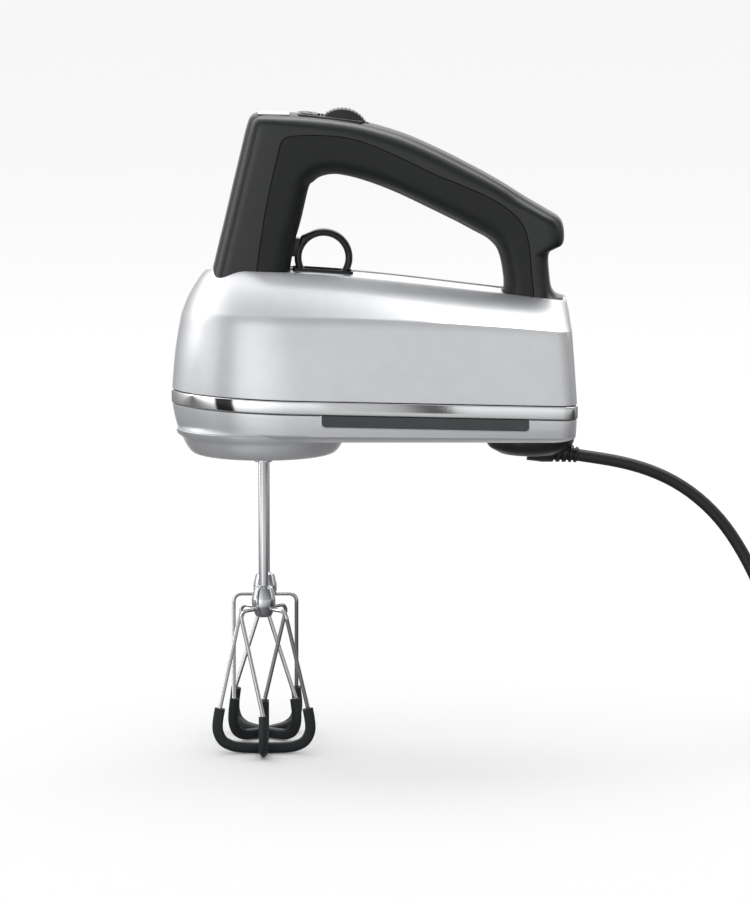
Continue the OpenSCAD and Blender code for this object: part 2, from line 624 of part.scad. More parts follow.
module armature_windings() color(copper) held() difference() {
    union() {
        for (x = [[stack_x[0] - 6, stack_x[0]], [stack_x[1], stack_x[1] + 6]])
            along_x(x[0], x[1], worm_z) circle(r = 11.4);
        along_x(stack_x[0] - 1, stack_x[1] + 1, worm_z)
            for (i = [0 : armature_slots - 1]) rotate(i * 36) translate([9.6, 0]) square([4.8, 2.3], center = true);
    }
    along_x(stack_x[0] - 10, stack_x[1] + 10, worm_z) circle(r = motor_shaft_d / 2);
}
module commutator() color(copper) held() along_x(commutator_x[0], commutator_x[1], worm_z) difference() {
    circle(r = commutator_r);
    circle(r = motor_shaft_d / 2);
    for (i = [0 : 19]) rotate(i * 18) translate([commutator_r, 0]) square([1.4, 0.5], center = true);
}
module motor_shaft() color(steel) held() along_x(shaft_x[0], shaft_x[1], worm_z) circle(r = motor_shaft_d / 2);
fan_x = [-30, -22];
fan_r = 19.5;
module cooling_fan() color(nylon) held() translate([0, 0, worm_z]) difference() {
    union() {
        along_x(fan_x[0], fan_x[0] + 1.6, 0) circle(r = fan_r);
        along_x(fan_x[0], fan_x[1], 0) circle(r = 6);
        for (i = [0 : 8]) rotate([i * 40, 0, 0]) block(fan_x[0] + 1, fan_x[1], -0.7, 0.7, 7, fan_r - 0.5);
    }
    along_x(fan_x[0] - 1, fan_x[1] + 1, 0) circle(r = motor_shaft_d / 2);
}
module ball_bearing(x0, x1) along_x(x0, x1, worm_z) difference() {
    circle(r = bearing_r);
    circle(r = motor_shaft_d / 2 + 0.05);
}
module front_bearing() color(steel) held() union() {
    ball_bearing(tower_front[0], tower_front[1]);
    ball_bearing(tower_back[0], tower_back[1]);
}
module rear_bearing() color(steel) held() ball_bearing(bracket_x[0], bracket_x[1]);
deck_z = floor_z + wall;
module motor_cradle() color(nylon) held() union() {
    block(stack_x[0], stack_x[1], -26, 26, deck_z + 0.05, worm_z - stator_half);
    mirrored_y() block(stack_x[0] + 2, stack_x[1] - 2, stator_half, 25, deck_z + 0.05, 182);
}
module rear_bracket() color(nylon) held() difference() {
    union() {
        block(bracket_x[0], bracket_x[1], -24, 24, deck_z + 0.05, 200);
        block(bracket_x[0] - 4, bracket_x[1] + 4, -26, 26, deck_z + 0.05, deck_z + 2);
    }
    along_x(bracket_x[0] - 1, bracket_x[1] + 1, worm_z) circle(r = bearing_r);
}
brush_w = 3;
module brush_holders() color([0.75, 0.55, 0.30]) held() mirrored_y() difference() {
    block(32, bracket_x[0], 9, 22, worm_z - 5, worm_z + 5);
    block(33.5, 38.5, 8, 20, worm_z - brush_w, worm_z + brush_w);
}
module carbon_brushes() color([0.12, 0.12, 0.12]) held() mirrored_y() difference() {
    block(33.5, 38.5, 6, 17, worm_z - brush_w + 0.05, worm_z + brush_w - 0.05);
    along_x(30, 42, worm_z) circle(r = commutator_r + 0.06);
}
module power_board() color(board_green) held() union() {
    block(56, 70, -24, 24, 172, 173.6);
    block(58, 66, -20, -6, 173.6, 188);
    block(58, 68, 2, 18, 173.6, 184);
    mirrored_y() block(60, 64, 18, 22, deck_z + 0.05, 172);
}
module case_screws() color(steel) held() mirrored_y() for (p = post_places) {
    pin(p[0], p[1], floor_z + 0.8, screw_head_z, screw_head_r);
    pin(p[0], p[1], screw_head_z - 1, 195, screw_r);
}
module handle_screws() color(steel) held() for (x = handle_screw_x) {
    pin(x, 0, ridge(x) - 4, ridge(x) + 11, screw_r);
    pin(x, 0, ridge(x) - 4.9, ridge(x) - 2.8, 2.8);
}

// ---- cord ----
boot_top = floor_z - 0.3;
relief_end = [103.2, 0, 149.2];
module cord_boot() color(charcoal) held() difference() {
    union() {
        translate([swivel_x, 0, 0]) rotate_extrude() polygon([[0, 150], [15, 150], [21, 153.5],
            [22.5, 157], [22.5, boot_top], [stem_r, boot_top], [stem_r, floor_z + 6.4], [0, floor_z + 6.4]]);
        tube([[80, 0, 153], [90, 0, 151.6], [96, 0, 150.6], relief_end], 4.6, 12, [0, 0, 1]);
    }
    for (x = [92, 95, 98, 101]) translate([x, 0, 150.4]) difference() {
        block(-0.5, 0.5, -8, 8, -8, 8);
        block(-1, 1, -3.6, 3.6, -3.4, 3.4);
    }
}
module swivel_retainer() color(steel) held() difference() {
    pin(swivel_x, 0, floor_z + 5.1, floor_z + 6.3, 10);
    pin(swivel_x, 0, floor_z, floor_z + 8, stem_r);
}
// The cord's own route, from the strain relief to the coil on the ground.
route = [[103.2, 0, 149.2], [110, 0, 148.2], [118, 0, 147], [128, 0, 145], [140, 0, 141.5],
    [153, 0, 135.5], [165, 0, 127], [176, 0, 116], [185, -1, 103], [193, -2, 88],
    [200, -5, 72], [206, -9, 56], [213, -14, 40], [221, -20, 25], [231, -26, 12],
    [243, -31, 5], [256, -33.3, cord_d / 2], [268, -33.5, cord_d / 2]];
coil_at = [268, 7];
coil_turns_out = 3;
coil_half = coil_turns_out * (cord_d + 0.2) / 2;
coil_h = 2 * cord_d + 0.2;
// From the coil's outer turn down to the plug beside it.
plug_y = 63;
end_route = [[308.5, 7, 9.4], [308.5, 16, 8.2], [307.8, 25, 6], [305.5, 36, 4],
    [301, 47, cord_d / 2], [293.5, 56, cord_d / 2], [284, 61.5, 3.4], [274, plug_y, 5],
    [264, plug_y, 7], [254, plug_y, 8]];
module cord() color(ring_black) held() union() {
    tube(route, cord_d / 2, 10, [0, 0, 1]);
    tube(end_route, cord_d / 2, 10, [0, 0, 1]);
}
module cord_coil() color(ring_black) held() translate([coil_at[0], coil_at[1], 0])
    rotate_extrude() translate([coil_r - coil_half, 0]) square([2 * coil_half, coil_h]);
tie_w = 7;
module cord_tie() color(ring_black) held() translate([coil_at[0], coil_at[1] + coil_r, 0])
    difference() {
        block(-tie_w / 2, tie_w / 2, -coil_half - 1, coil_half + 1, 0, coil_h + 1);
        translate([0, -coil_r, -eps]) difference() {
            cylinder(h = coil_h + eps, r = coil_r + coil_half);
            translate([0, 0, -1]) cylinder(h = coil_h + 3, r = coil_r - coil_half);
        }
    }
plug_x = [222, 254];
module plug_body() color(ring_black) held() union() {
    translate([plug_x[0], plug_y, 8]) rotate([0, 90, 0]) linear_extrude(24)
        hull() for (s = [1, -1]) translate([0, s * 4.5]) circle(r = 8, $fn = 32);
    translate([plug_x[0] + 24, plug_y, 8]) rotate([0, 90, 0]) cylinder(h = 8, r1 = 7.5, r2 = 4.6);
}
blade_len = 17;
module plug_blades() color([0.80, 0.70, 0.45]) held() for (s = [1, -1])
    block(plug_x[0] - blade_len, plug_x[0], plug_y + s * 6.35 - 0.75, plug_y + s * 6.35 + 0.75, 4.9, 11.1);

upper_housing();
trim_band();
lower_housing();
left_case_rail();
right_case_rail();
handle_shell();
handle_grip();
control_bezel();
power_button();
button_spring();
speed_wheel();
wheel_axle();
display_window();
control_board();
eject_trigger();
trigger_bezel();
trigger_spring();
eject_lever();
lever_bracket();
lever_pin();
ejector_plate();
left_beater_shaft();
left_beater_wires();
left_scraper();
right_beater_shaft();
right_beater_wires();
right_scraper();
left_spindle();
left_worm_wheel();
right_spindle();
right_worm_wheel();
spindle_bushes();
gear_frame();
gearbox_cover();
motor_stator();
field_coils();
armature_core();
armature_windings();
commutator();
motor_shaft();
drive_worm();
cooling_fan();
front_bearing();
rear_bearing();
motor_cradle();
rear_bracket();
brush_holders();
carbon_brushes();
power_board();
case_screws();
gearbox_screws();
handle_screws();
cord_boot();
swivel_retainer();
cord();
cord_coil();
cord_tie();
plug_body();
plug_blades();
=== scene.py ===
import json
from math import cos, pi, radians, sin, sqrt

import bmesh
import bpy
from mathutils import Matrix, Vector


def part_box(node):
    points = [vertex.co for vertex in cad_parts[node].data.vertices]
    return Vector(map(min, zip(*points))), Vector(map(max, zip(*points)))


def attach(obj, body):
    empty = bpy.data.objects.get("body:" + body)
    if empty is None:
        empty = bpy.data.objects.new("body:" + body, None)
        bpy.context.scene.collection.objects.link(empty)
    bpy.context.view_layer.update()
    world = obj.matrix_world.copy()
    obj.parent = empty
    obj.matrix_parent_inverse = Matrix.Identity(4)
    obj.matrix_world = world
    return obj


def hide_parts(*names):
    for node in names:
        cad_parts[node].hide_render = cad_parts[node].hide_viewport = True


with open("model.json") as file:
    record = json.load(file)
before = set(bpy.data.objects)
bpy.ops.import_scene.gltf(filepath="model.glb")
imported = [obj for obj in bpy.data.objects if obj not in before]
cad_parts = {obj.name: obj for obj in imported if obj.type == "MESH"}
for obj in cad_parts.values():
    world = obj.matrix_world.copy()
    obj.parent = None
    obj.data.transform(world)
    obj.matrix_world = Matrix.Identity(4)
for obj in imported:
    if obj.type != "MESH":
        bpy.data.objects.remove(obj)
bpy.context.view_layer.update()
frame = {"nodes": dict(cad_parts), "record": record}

# Lengths are in millimetres and heights are above the ground, where no comment says metres.
MM = 0.001
scene = bpy.context.scene
GROUND = min(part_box("left_scraper")[0][2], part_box("right_scraper")[0][2])
BAND_LOW, BAND_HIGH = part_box("trim_band")
NOSE_X = BAND_LOW[0] / MM
HEEL_X = BAND_HIGH[0] / MM


def place(p):
    """A point in millimetres, with its height above the ground, in the row frame."""
    return Vector((p[0] * MM, p[1] * MM, GROUND + p[2] * MM))


# ---- curves
def lerp(a, b, k):
    """The number a share k of the way from a to b."""
    return a + (b - a) * k


def mix(a, b, k):
    """The point a share k of the way from a to b."""
    return tuple(lerp(u, v, k) for u, v in zip(a, b))


def spline(points, steps):
    """A Catmull-Rom curve through points, with that many steps to a span."""
    last = len(points) - 1
    out = []
    for i in range(last):
        a, b = points[max(i - 1, 0)], points[i]
        c, d = points[i + 1], points[min(i + 2, last)]
        for k in range(steps):
            t = k / steps
            out.append(tuple(
                0.5 * (2 * q + (r - p) * t + (2 * p - 5 * q + 4 * r - s) * t * t
                       + (3 * q - p - 3 * r + s) * t ** 3)
                for p, q, r, s in zip(a, b, c, d)))
    return out + [tuple(points[last])]


def arc(cx, cy, r, start, end, steps):
    """Points on an arc, with its angles in degrees."""
    return [(cx + r * cos(radians(lerp(start, end, k / steps))),
             cy + r * sin(radians(lerp(start, end, k / steps)))) for k in range(steps + 1)]


def rounded_box(half_x, half_y, r, steps=5):
    """The outline of a rounded rectangle round the origin."""
    x, y = half_x - r, half_y - r
    return (arc(x, y, r, 0, 90, steps) + arc(-x, y, r, 90, 180, steps)
            + arc(-x, -y, r, 180, 270, steps) + arc(x, -y, r, 270, 360, steps))


# ---- mesh pieces
# Edges that turn by more than this many degrees stay sharp.
SMOOTH_ANGLE = 38
WELD = 0.004
TINY_EDGE = 0.002


def piece(name, verts, faces, material, body, replaces=(), angle=SMOOTH_ANGLE):
    """A closed mesh piece that rides on a body and stands for CAD nodes."""
    mesh = bpy.data.meshes.new(name)
    mesh.from_pydata([place(v) for v in verts], [], faces)
    bm = bmesh.new()
    bm.from_mesh(mesh)
    bmesh.ops.remove_doubles(bm, verts=bm.verts, dist=WELD * MM)
    bmesh.ops.dissolve_degenerate(bm, edges=bm.edges, dist=TINY_EDGE * MM)
    bmesh.ops.recalc_face_normals(bm, faces=bm.faces)
    bm.to_mesh(mesh)
    bm.free()
    obj = bpy.data.objects.new(name, mesh)
    scene.collection.objects.link(obj)
    mesh.materials.append(material)
    soften(mesh, angle)
    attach(obj, body)
    if replaces:
        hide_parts(*replaces)
    return obj


def soften(mesh, angle):
    """Smooth shading, with edges sharper than an angle in degrees kept crisp."""
    for polygon in mesh.polygons:
        polygon.use_smooth = True
    mesh.set_sharp_from_angle(angle=radians(angle))


def modified(obj, kind, **settings):
    """Applies one modifier to a piece."""
    modifier = obj.modifiers.new("work", kind)
    for key, value in settings.items():
        setattr(modifier, key, value)
    graph = bpy.context.evaluated_depsgraph_get()
    mesh = bpy.data.meshes.new_from_object(obj.evaluated_get(graph))
    obj.modifiers.clear()
    obj.data = mesh
    return obj


def bevelled(obj, width, segments=3, angle=30):
    """Rounds the edges that turn by more than an angle."""
    modified(obj, "BEVEL", width=width * MM, segments=segments, limit_method="ANGLE",
             angle_limit=radians(angle))
    soften(obj.data, SMOOTH_ANGLE)
    return obj


def cut(obj, verts, faces, angle=SMOOTH_ANGLE):
    """Takes a closed shape away from a piece."""
    mesh = bpy.data.meshes.new("cutter")
    mesh.from_pydata([place(v) for v in verts], [], faces)
    bm = bmesh.new()
    bm.from_mesh(mesh)
    bmesh.ops.recalc_face_normals(bm, faces=bm.faces)
    bm.to_mesh(mesh)
    bm.free()
    tool = bpy.data.objects.new("cutter", mesh)
    scene.collection.objects.link(tool)
    bpy.context.view_layer.update()
    modified(obj, "BOOLEAN", operation="DIFFERENCE", object=tool, solver="EXACT")
    bpy.data.objects.remove(tool)
    soften(obj.data, angle)
    return obj


def rings_mesh(rings, caps=True, wrap=False):
    """Faces between rings of equal length. wrap joins the last ring to the first."""
    n = len(rings[0])
    verts = [v for ring in rings for v in ring]
    faces = []
    count = len(rings) if wrap else len(rings) - 1
    for k in range(count):
        a, b = k * n, ((k + 1) % len(rings)) * n
        for i in range(n):
            j = (i + 1) % n
            faces.append((a + i, a + j, b + j, b + i))
    if caps and not wrap:
        faces.append(tuple(range(n - 1, -1, -1)))
        faces.append(tuple((len(rings) - 1) * n + i for i in range(n)))
    return verts, faces


def lathe(profile, steps, to_point):
    """Rings of a profile of (radius, height) turned about an axis, mapped by to_point."""
    rings = [[to_point(r * cos(2 * pi * k / steps), r * sin(2 * pi * k / steps), h)
              for k in range(steps)] for r, h in profile]
    return rings_mesh(rings)


def frames(points):
    """Each point of a path, with two directions square to the path and to each other."""
    points = [Vector(p) for p in points]
    out = []
    side = Vector((0, 0, 1))
    for i, p in enumerate(points):
        t = (points[min(i + 1, len(points) - 1)] - points[max(i - 1, 0)]).normalized()
        side = (side - side.dot(t) * t).normalized()
        out.append((p, side.copy(), t.cross(side)))
    return out


def tube_rings(points, radii, steps):
    """Round rings along a path, with a radius for each point."""
    return [[tuple(p + r * (cos(2 * pi * k / steps) * a + sin(2 * pi * k / steps) * b))
             for k in range(steps)] for (p, a, b), r in zip(frames(points), radii)]


def extruded(outline, to_low, to_high):
    """A closed outline between two mapped copies of itself."""
    return rings_mesh([[to_low(p) for p in outline], [to_high(p) for p in outline]])


def join(*meshes):
    """Several (verts, faces) as one."""
    verts, faces = [], []
    for v, f in meshes:
        base = len(verts)
        verts += list(v)
        faces += [tuple(i + base for i in face) for face in f]
    return verts, faces


def block(x0, x1, y0, y1, z0, z1):
    """A box between two corners."""
    corners = [(x, y, z) for z in (z0, z1) for x, y in ((x0, y0), (x1, y0), (x1, y1), (x0, y1))]
    return corners, [(3, 2, 1, 0), (4, 5, 6, 7), (0, 1, 5, 4), (1, 2, 6, 5), (2, 3, 7, 6), (3, 0, 4, 7)]


# ---- materials
COAT_ROUGHNESS = 0.05
# The broad noise that varies the colour is this many times coarser than the fine grain.
BROAD = 24
# How far roughness varies for each unit of wear, and how deep the grain's bumps are in mm.
ROUGH_SPREAD = 1.2
GRAIN_DEPTH = 0.1


def material(slot, base, metallic=0, roughness=0.4, specular=0.5, coat=0, grain=900, bump=0.05,
             wear=0.06, stretch=(1, 1, 1)):
    """A principled material with fine variation of colour and roughness, and a fine bump."""
    made = bpy.data.materials.new(slot)
    made["slot"] = slot
    made.use_nodes = True
    nodes, links = made.node_tree.nodes, made.node_tree.links
    shader = nodes["Principled BSDF"]
    shader.inputs["Metallic"].default_value = metallic
    shader.inputs["Specular IOR Level"].default_value = specular
    shader.inputs["Coat Weight"].default_value = coat
    shader.inputs["Coat Roughness"].default_value = COAT_ROUGHNESS
    where = nodes.new("ShaderNodeTexCoord")
    spread = nodes.new("ShaderNodeMapping")
    spread.inputs["Scale"].default_value = stretch
    links.new(where.outputs["Object"], spread.inputs["Vector"])
    fine = nodes.new("ShaderNodeTexNoise")
    fine.inputs["Scale"].default_value = grain
    fine.inputs["Detail"].default_value = 3
    broad = nodes.new("ShaderNodeTexNoise")
    broad.inputs["Scale"].default_value = grain / BROAD
    broad.inputs["Detail"].default_value = 4
    for noise in (fine, broad):
        links.new(spread.outputs["Vector"], noise.inputs["Vector"])
    tint = nodes.new("ShaderNodeValToRGB")
    for stop, k in zip(tint.color_ramp.elements, (1 - wear, 1 + wear)):
        stop.color = (*[min(c * k, 1) for c in base], 1)
    tint.color_ramp.elements[0].position = 0.3
    tint.color_ramp.elements[1].position = 0.7
    links.new(broad.outputs["Fac"], tint.inputs["Fac"])
    links.new(tint.outputs["Color"], shader.inputs["Base Color"])
    rough = nodes.new("ShaderNodeMapRange")
    rough.inputs["To Min"].default_value = roughness * (1 - ROUGH_SPREAD * wear)
    rough.inputs["To Max"].default_value = roughness * (1 + ROUGH_SPREAD * wear)
    links.new(fine.outputs["Fac"], rough.inputs["Value"])
    links.new(rough.outputs["Result"], shader.inputs["Roughness"])
    relief = nodes.new("ShaderNodeBump")
    relief.inputs["Strength"].default_value = bump
    relief.inputs["Distance"].default_value = GRAIN_DEPTH * MM
    links.new(fine.outputs["Fac"], relief.inputs["Height"])
    links.new(relief.outputs["Normal"], shader.inputs["Normal"])
    return made


SILVER = material("silver_paint", (0.80, 0.81, 0.83), metallic=0.8, roughness=0.36, coat=0.3,
                  grain=2600, bump=0.03, wear=0.02)
CHROME = material("chrome_trim", (0.86, 0.87, 0.88), metallic=1, roughness=0.06, grain=1500,
                  bump=0.01, wear=0.02)
CHARCOAL = material("charcoal_plastic", (0.0045, 0.0062, 0.0070), roughness=0.33, specular=0.8,
                    grain=2400, bump=0.16, wear=0.05)
GRIP = material("soft_grip", (0.0042, 0.0056, 0.0062), specular=0.52, grain=3200, bump=0.25)
RAIL = material("charcoal_plastic_rail", (0.045, 0.048, 0.052), roughness=0.5, grain=2600, bump=0.15)
RAIL["slot"] = "charcoal_plastic"
BLACK = material("black_plastic", (0.010, 0.011, 0.012), roughness=0.28, grain=1800, bump=0.06,
                 wear=0.05)
STEEL = material("polished_steel", (0.74, 0.75, 0.77), metallic=1, roughness=0.13, grain=700,
                 bump=0.03, wear=0.04, stretch=(1, 1, 0.15))
RUBBER = material("scraper_rubber", (0.013, 0.017, 0.019), roughness=0.55, specular=0.35,
                  grain=1600, bump=0.2, wear=0.08)
CORD = material("cord_pvc", (0.012, 0.013, 0.014), roughness=0.42, specular=0.45, grain=1200,
                bump=0.2, wear=0.08)
PLUG = material("plug_pvc", (0.012, 0.013, 0.014), specular=0.45, grain=1600, bump=0.2)
LENS = material("lens", (0.006, 0.007, 0.008), roughness=0.07, specular=0.6, coat=0.6, bump=0.005,
                wear=0.04)
# The tongue behind the chrome band is painted dark: painted shade in the gaps above and below the strip.
GAP_SHADE = material("black_plastic_seam", (0.006, 0.006, 0.007), roughness=0.6, specular=0.2,
                grain=1500, bump=0.1, wear=0.05)
GAP_SHADE["slot"] = "black_plastic"
INNER = {
    "copper": material("copper", (0.72, 0.30, 0.12), metallic=1, roughness=0.3, grain=1400,
                       bump=0.3, stretch=(1, 6, 6)),
    "brass": material("brass", (0.70, 0.52, 0.24), metallic=1, roughness=0.25),
    "bronze": material("bronze", (0.52, 0.34, 0.18), metallic=1, roughness=0.45, grain=2200, bump=0.3),
    "iron": material("iron", (0.30, 0.31, 0.33), metallic=1, roughness=0.42, grain=1400,
                     bump=0.3, stretch=(12, 1, 1)),
    "gear_nylon": material("gear_nylon", (0.80, 0.78, 0.70), roughness=0.45, grain=1200),
    "cast_alloy": material("cast_alloy", (0.52, 0.53, 0.55), metallic=1, roughness=0.5,
                           grain=1500, bump=0.4),
    "board": material("board", (0.03, 0.16, 0.08)),
    "carbon": material("carbon", (0.03, 0.03, 0.03), roughness=0.6, grain=1800, bump=0.3),
}
SLOTS = {m["slot"]: m for m in (SILVER, CHROME, CHARCOAL, GRIP, BLACK, STEEL, RUBBER, CORD, PLUG,
                                LENS)} | INNER


# ---- camera, in metres
CAMERA_DISTANCE = 3.0
CAMERA_TILT = radians(8.5)
VIEW_HEIGHT = 0.4545
VIEW_CENTRE = Vector((0.00076, 0, -0.1483))
SENSOR = 36
camera_data = bpy.data.cameras.new("camera")
camera_data.sensor_fit = "VERTICAL"
camera_data.sensor_height = SENSOR
camera_data.lens = SENSOR * CAMERA_DISTANCE / VIEW_HEIGHT
camera_data.clip_end = 50
camera = bpy.data.objects.new("camera", camera_data)
scene.collection.objects.link(camera)
camera.location = VIEW_CENTRE + CAMERA_DISTANCE * Vector((0, -cos(CAMERA_TILT), sin(CAMERA_TILT)))
camera.rotation_euler = (pi / 2 - CAMERA_TILT, 0, 0)
scene.camera = camera


# ---- cord
CORD_D = 6.2
COIL_AT = (268, 7)
COIL_R = 34
COIL_PITCH = CORD_D + 0.2
COIL_TURNS = 5.25
TURN_POINTS = 24
# Out of the strain relief, down to the ground and along to the coil.
ROUTE = [(103.2, 0, 149.2), (110, 0, 148.2), (118, 0, 147), (128, 0, 145), (140, 0, 141.5),
         (153, 0, 135.5), (165, 0, 127), (176, 0, 116), (185, -1, 103), (193, -2, 88),
         (200, -5, 72), (206, -9, 56), (213, -14, 40), (221, -20, 25), (231, -26, 12),
         (243, -31, 5), (256, -33.3, CORD_D / 2)]
# Off the coil's upper outer turn, down beside it and into the plug.
END_ROUTE = [(308.5, 16, 8.2), (307.8, 25, 6), (305.5, 36, 4), (301, 47, CORD_D / 2),
             (293.5, 56, CORD_D / 2), (284, 61.5, 3.4), (274, 63, 5), (264, 63, 7), (254, 63, 8)]


def coil_point(turns):
    """A point on the coil: two turns in on the floor, one across, then two and a bit out on top."""
    outer = COIL_R + COIL_PITCH
    if turns < 2:
        r = outer - COIL_PITCH * turns
    elif turns < 3:
        r = outer - 2 * COIL_PITCH
    else:
        r = min(outer - 2 * COIL_PITCH + COIL_PITCH * (turns - 3), outer)
    rise = min(max((turns - 2.45) / 0.5, 0), 1)
    rise = rise * rise * (3 - 2 * rise)
    angle = 2 * pi * turns - pi / 2
    return (COIL_AT[0] + r * cos(angle), COIL_AT[1] + r * sin(angle), CORD_D / 2 + COIL_PITCH * rise)


def make_cord():
    """The cord as one smooth curve: its route, its coil, and the way into the plug."""
    count = round(COIL_TURNS * TURN_POINTS)
    coil = [coil_point(COIL_TURNS * i / count) for i in range(count + 1)]
    path = [place(p) for p in ROUTE + coil + END_ROUTE]
    curve = bpy.data.curves.new("mains_cord", "CURVE")
    curve.dimensions = "3D"
    curve.bevel_depth = CORD_D / 2 * MM
    curve.bevel_resolution = 5
    curve.resolution_u = 3
    curve.use_fill_caps = True
    line = curve.splines.new("NURBS")
    line.points.add(len(path) - 1)
    for point, p in zip(line.points, path):
        point.co = (*p, 1)
    line.order_u = 4
    line.use_endpoint_u = True
    curve.materials.append(CORD)
    obj = bpy.data.objects.new("mains_cord", curve)
    scene.collection.objects.link(obj)
    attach(obj, "cord_swivel")
    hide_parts("cord", "cord_coil")
    length = sum((b - a).length for a, b in zip(path, path[1:]))
    return obj, path[0], length


def make_tie():
    """A strap over the bundle of turns, tucked under it."""
    half, top, wide = 1.5 * COIL_PITCH + 0.9, 2 * CORD_D + 1.1, 3.4
    x, y = COIL_AT[0], COIL_AT[1] + COIL_R
    outer = [(-half, 0.1)] + arc(-half + 2.5, top - 2.5, 2.5, 180, 90, 5) \
        + arc(half - 2.5, top - 2.5, 2.5, 90, 0, 5) + [(half, 0.1)]
    inner = [(half - 0.8, 0.1)] + arc(half - 2.6, top - 2.6, 1.8, 0, 90, 5) \
        + arc(-half + 2.6, top - 2.6, 1.8, 90, 180, 5) + [(-half + 0.8, 0.1)]
    shape = extruded(outer + inner, lambda p: (x - wide, y + p[0], p[1]),
                     lambda p: (x + wide, y + p[0], p[1]))
    return piece("cord_strap", *shape, CORD, "cord_swivel", ("cord_tie",))


PLUG_FRONT = 222
PLUG_AT = (63, 8)
BLADE_GAP = 12.7
BLADE_THICK = 1.48


def make_plug():
    """A moulded two-blade plug with grip ribs and a tapered tail."""
    stations = [(0, 11.2, 6.9), (0.5, 12.2, 7.7), (2, 12.5, 8), (9, 12.3, 8), (10, 11.5, 7.2),
                (11, 12.1, 7.8), (12.5, 12.0, 7.7), (13.5, 11.2, 6.9), (14.5, 11.8, 7.5),
                (16, 11.6, 7.4), (17, 10.8, 6.6), (18, 11.2, 7.2), (21, 10.4, 7.0), (24, 8.4, 6.6),
                (27, 6.4, 6.0), (30, 5.2, 5.1), (31.8, 4.7, 4.6), (32, 4.2, 4.1)]
    rings = [[(PLUG_FRONT + x, PLUG_AT[0] + p[0], PLUG_AT[1] + p[1])
              for p in rounded_box(a, b, min(b, 6.6) - 0.05, 8)] for x, a, b in stations]
    body = piece("plug_moulding", *rings_mesh(rings), PLUG, "cord_swivel", ("plug_body",))
    blades = []
    for side in (1, -1):
        y = PLUG_AT[0] + side * BLADE_GAP / 2
        outline = [(0.5, 3.1), (0.5, -3.1)] + arc(-14.5, -0.6, 2.5, 270, 180, 4) \
            + arc(-14.5, 0.6, 2.5, 180, 90, 4)
        near, far = [[(PLUG_FRONT + u, y + across, PLUG_AT[1] + v) for u, v in outline]
                     for across in (-BLADE_THICK / 2, BLADE_THICK / 2)]
        blades.append(rings_mesh([near, far]))
    metal = piece("plug_contacts", *join(*blades), INNER["brass"], "cord_swivel", ("plug_blades",))
    bevelled(metal, 0.25, 2)
    return body, metal


cord, cord_start, cord_length = make_cord()
strap = make_tie()
plug, contacts = make_plug()


# ---- body
FRONT_HALF = 40.5
REAR_HALF = 43.0
BAND_H = 7.1
BAND_FRONT_Z = 176.2
BAND_TILT = 0.0176
NOSE_POWER = 1.176
CORNER_R = 8
SHELL = 2.2
NOSE_STEPS, FLANK_STEPS, CORNER_STEPS, HEEL_STEPS = 24, 18, 8, 6


def band_bottom(x):
    """Height of the chrome band's lower edge, which falls a little towards the heel."""
    return BAND_FRONT_Z - BAND_TILT * (x - NOSE_X)


def crease(x):
    """Height of the crease between flank and shoulder: level at the nose, then a falling curve."""
    return 223.5 - 0.00029 * max(x + 57, 0) ** 2


def ridge(x):
    """Height of the body's top: a curve in front, a straight slope behind."""
    return 244.6 - 0.0006 * (x + 80) ** 2 if x < 20 else 238.6 - 0.12 * (x - 20)


# Level, nose and heel setback, front and rear narrowing, nose length.
# Upper levels: 0 at the band, 1 at the crease, 2 at the flat top.
UPPER_SIDE = [(0, 0.4, 0.4, 0.3, 0.4, 66), (0.5, 2.2, 1.7, 1.5, 0.9, 62),
              (0.93, 5.2, 2.9, 3.9, 1.6, 57), (1, 6.1, 3.1, 5.2, 2.1, 55)]
UPPER_TOP = [(1, 6.1, 3.1, 5.2, 2.1, 55), (1.3, 8.6, 3.7, 9.8, 9, 50), (1.6, 12.1, 4.2, 15.5, 16.5, 42),
             (1.9, 16.6, 4.9, 23.2, 25.2, 28), (2, 19.7, 5.7, 26.2, 28.7, 20)]
# Lower levels: 0 at the band, 1 at the flat underside.
LOWER_SIDE = [(0, 0.5, 0.5, 0.4, 0.4, 66), (0.4, 1.6, 0.75, 0.8, 0.8, 64), (0.75, 3, 1, 1.4, 1.6, 62)]
LOWER_EDGE = [(0.75, 3, 1, 1.4, 1.6, 62), (0.86, 3.6, 1.9, 2.9, 3.6, 61), (1, 5.2, 5, 6.5, 8.5, 58)]
FLOOR_Z = 160.5


def half_plan(x0, x1, front, rear, nose):
    """Half a plan outline, from the nose tip to the middle of the heel."""
    out = []
    for k in range(NOSE_STEPS + 1):
        a = radians(90 * k / NOSE_STEPS)
        out.append((x0 + nose * (1 - cos(a)), front * sin(a) ** NOSE_POWER))
    for k in range(1, FLANK_STEPS):
        out.append((lerp(x0 + nose, x1 - CORNER_R, k / FLANK_STEPS), lerp(front, rear, k / FLANK_STEPS)))
    out += arc(x1 - CORNER_R, rear - CORNER_R, CORNER_R, 90, 0, CORNER_STEPS)
    return out + [(x1, (rear - CORNER_R) * k / HEEL_STEPS) for k in range(HEEL_STEPS - 1, -1, -1)]


def plan(row, inset=0.0):
    """Half a plan outline at one level of a shell."""
    return half_plan(NOSE_X + row[1] + inset, HEEL_X - row[2] - inset, FRONT_HALF - row[3] - inset,
                     REAR_HALF - row[4] - inset, row[5])


def both_sides(half):
    """A whole ring from its half with y at or above 0."""
    return half + [(p[0], -p[1], *p[2:]) for p in half[-2:0:-1]]


def upper_height(level, x):
    if level <= 1:
        return lerp(band_bottom(x) + BAND_H, crease(x), level)
    return lerp(crease(x), ridge(x), level - 1)


def lower_height(level, x):
    return lerp(band_bottom(x), FLOOR_Z, level)


def row_ring(row, height, inset=0.0, dz=0.0):
    """A whole ring at one level of a shell, pulled in and raised by a little."""
    return both_sides([(x, y, height(row[0], x) + dz) for x, y in plan(row, inset)])


CAP_STEPS = 6
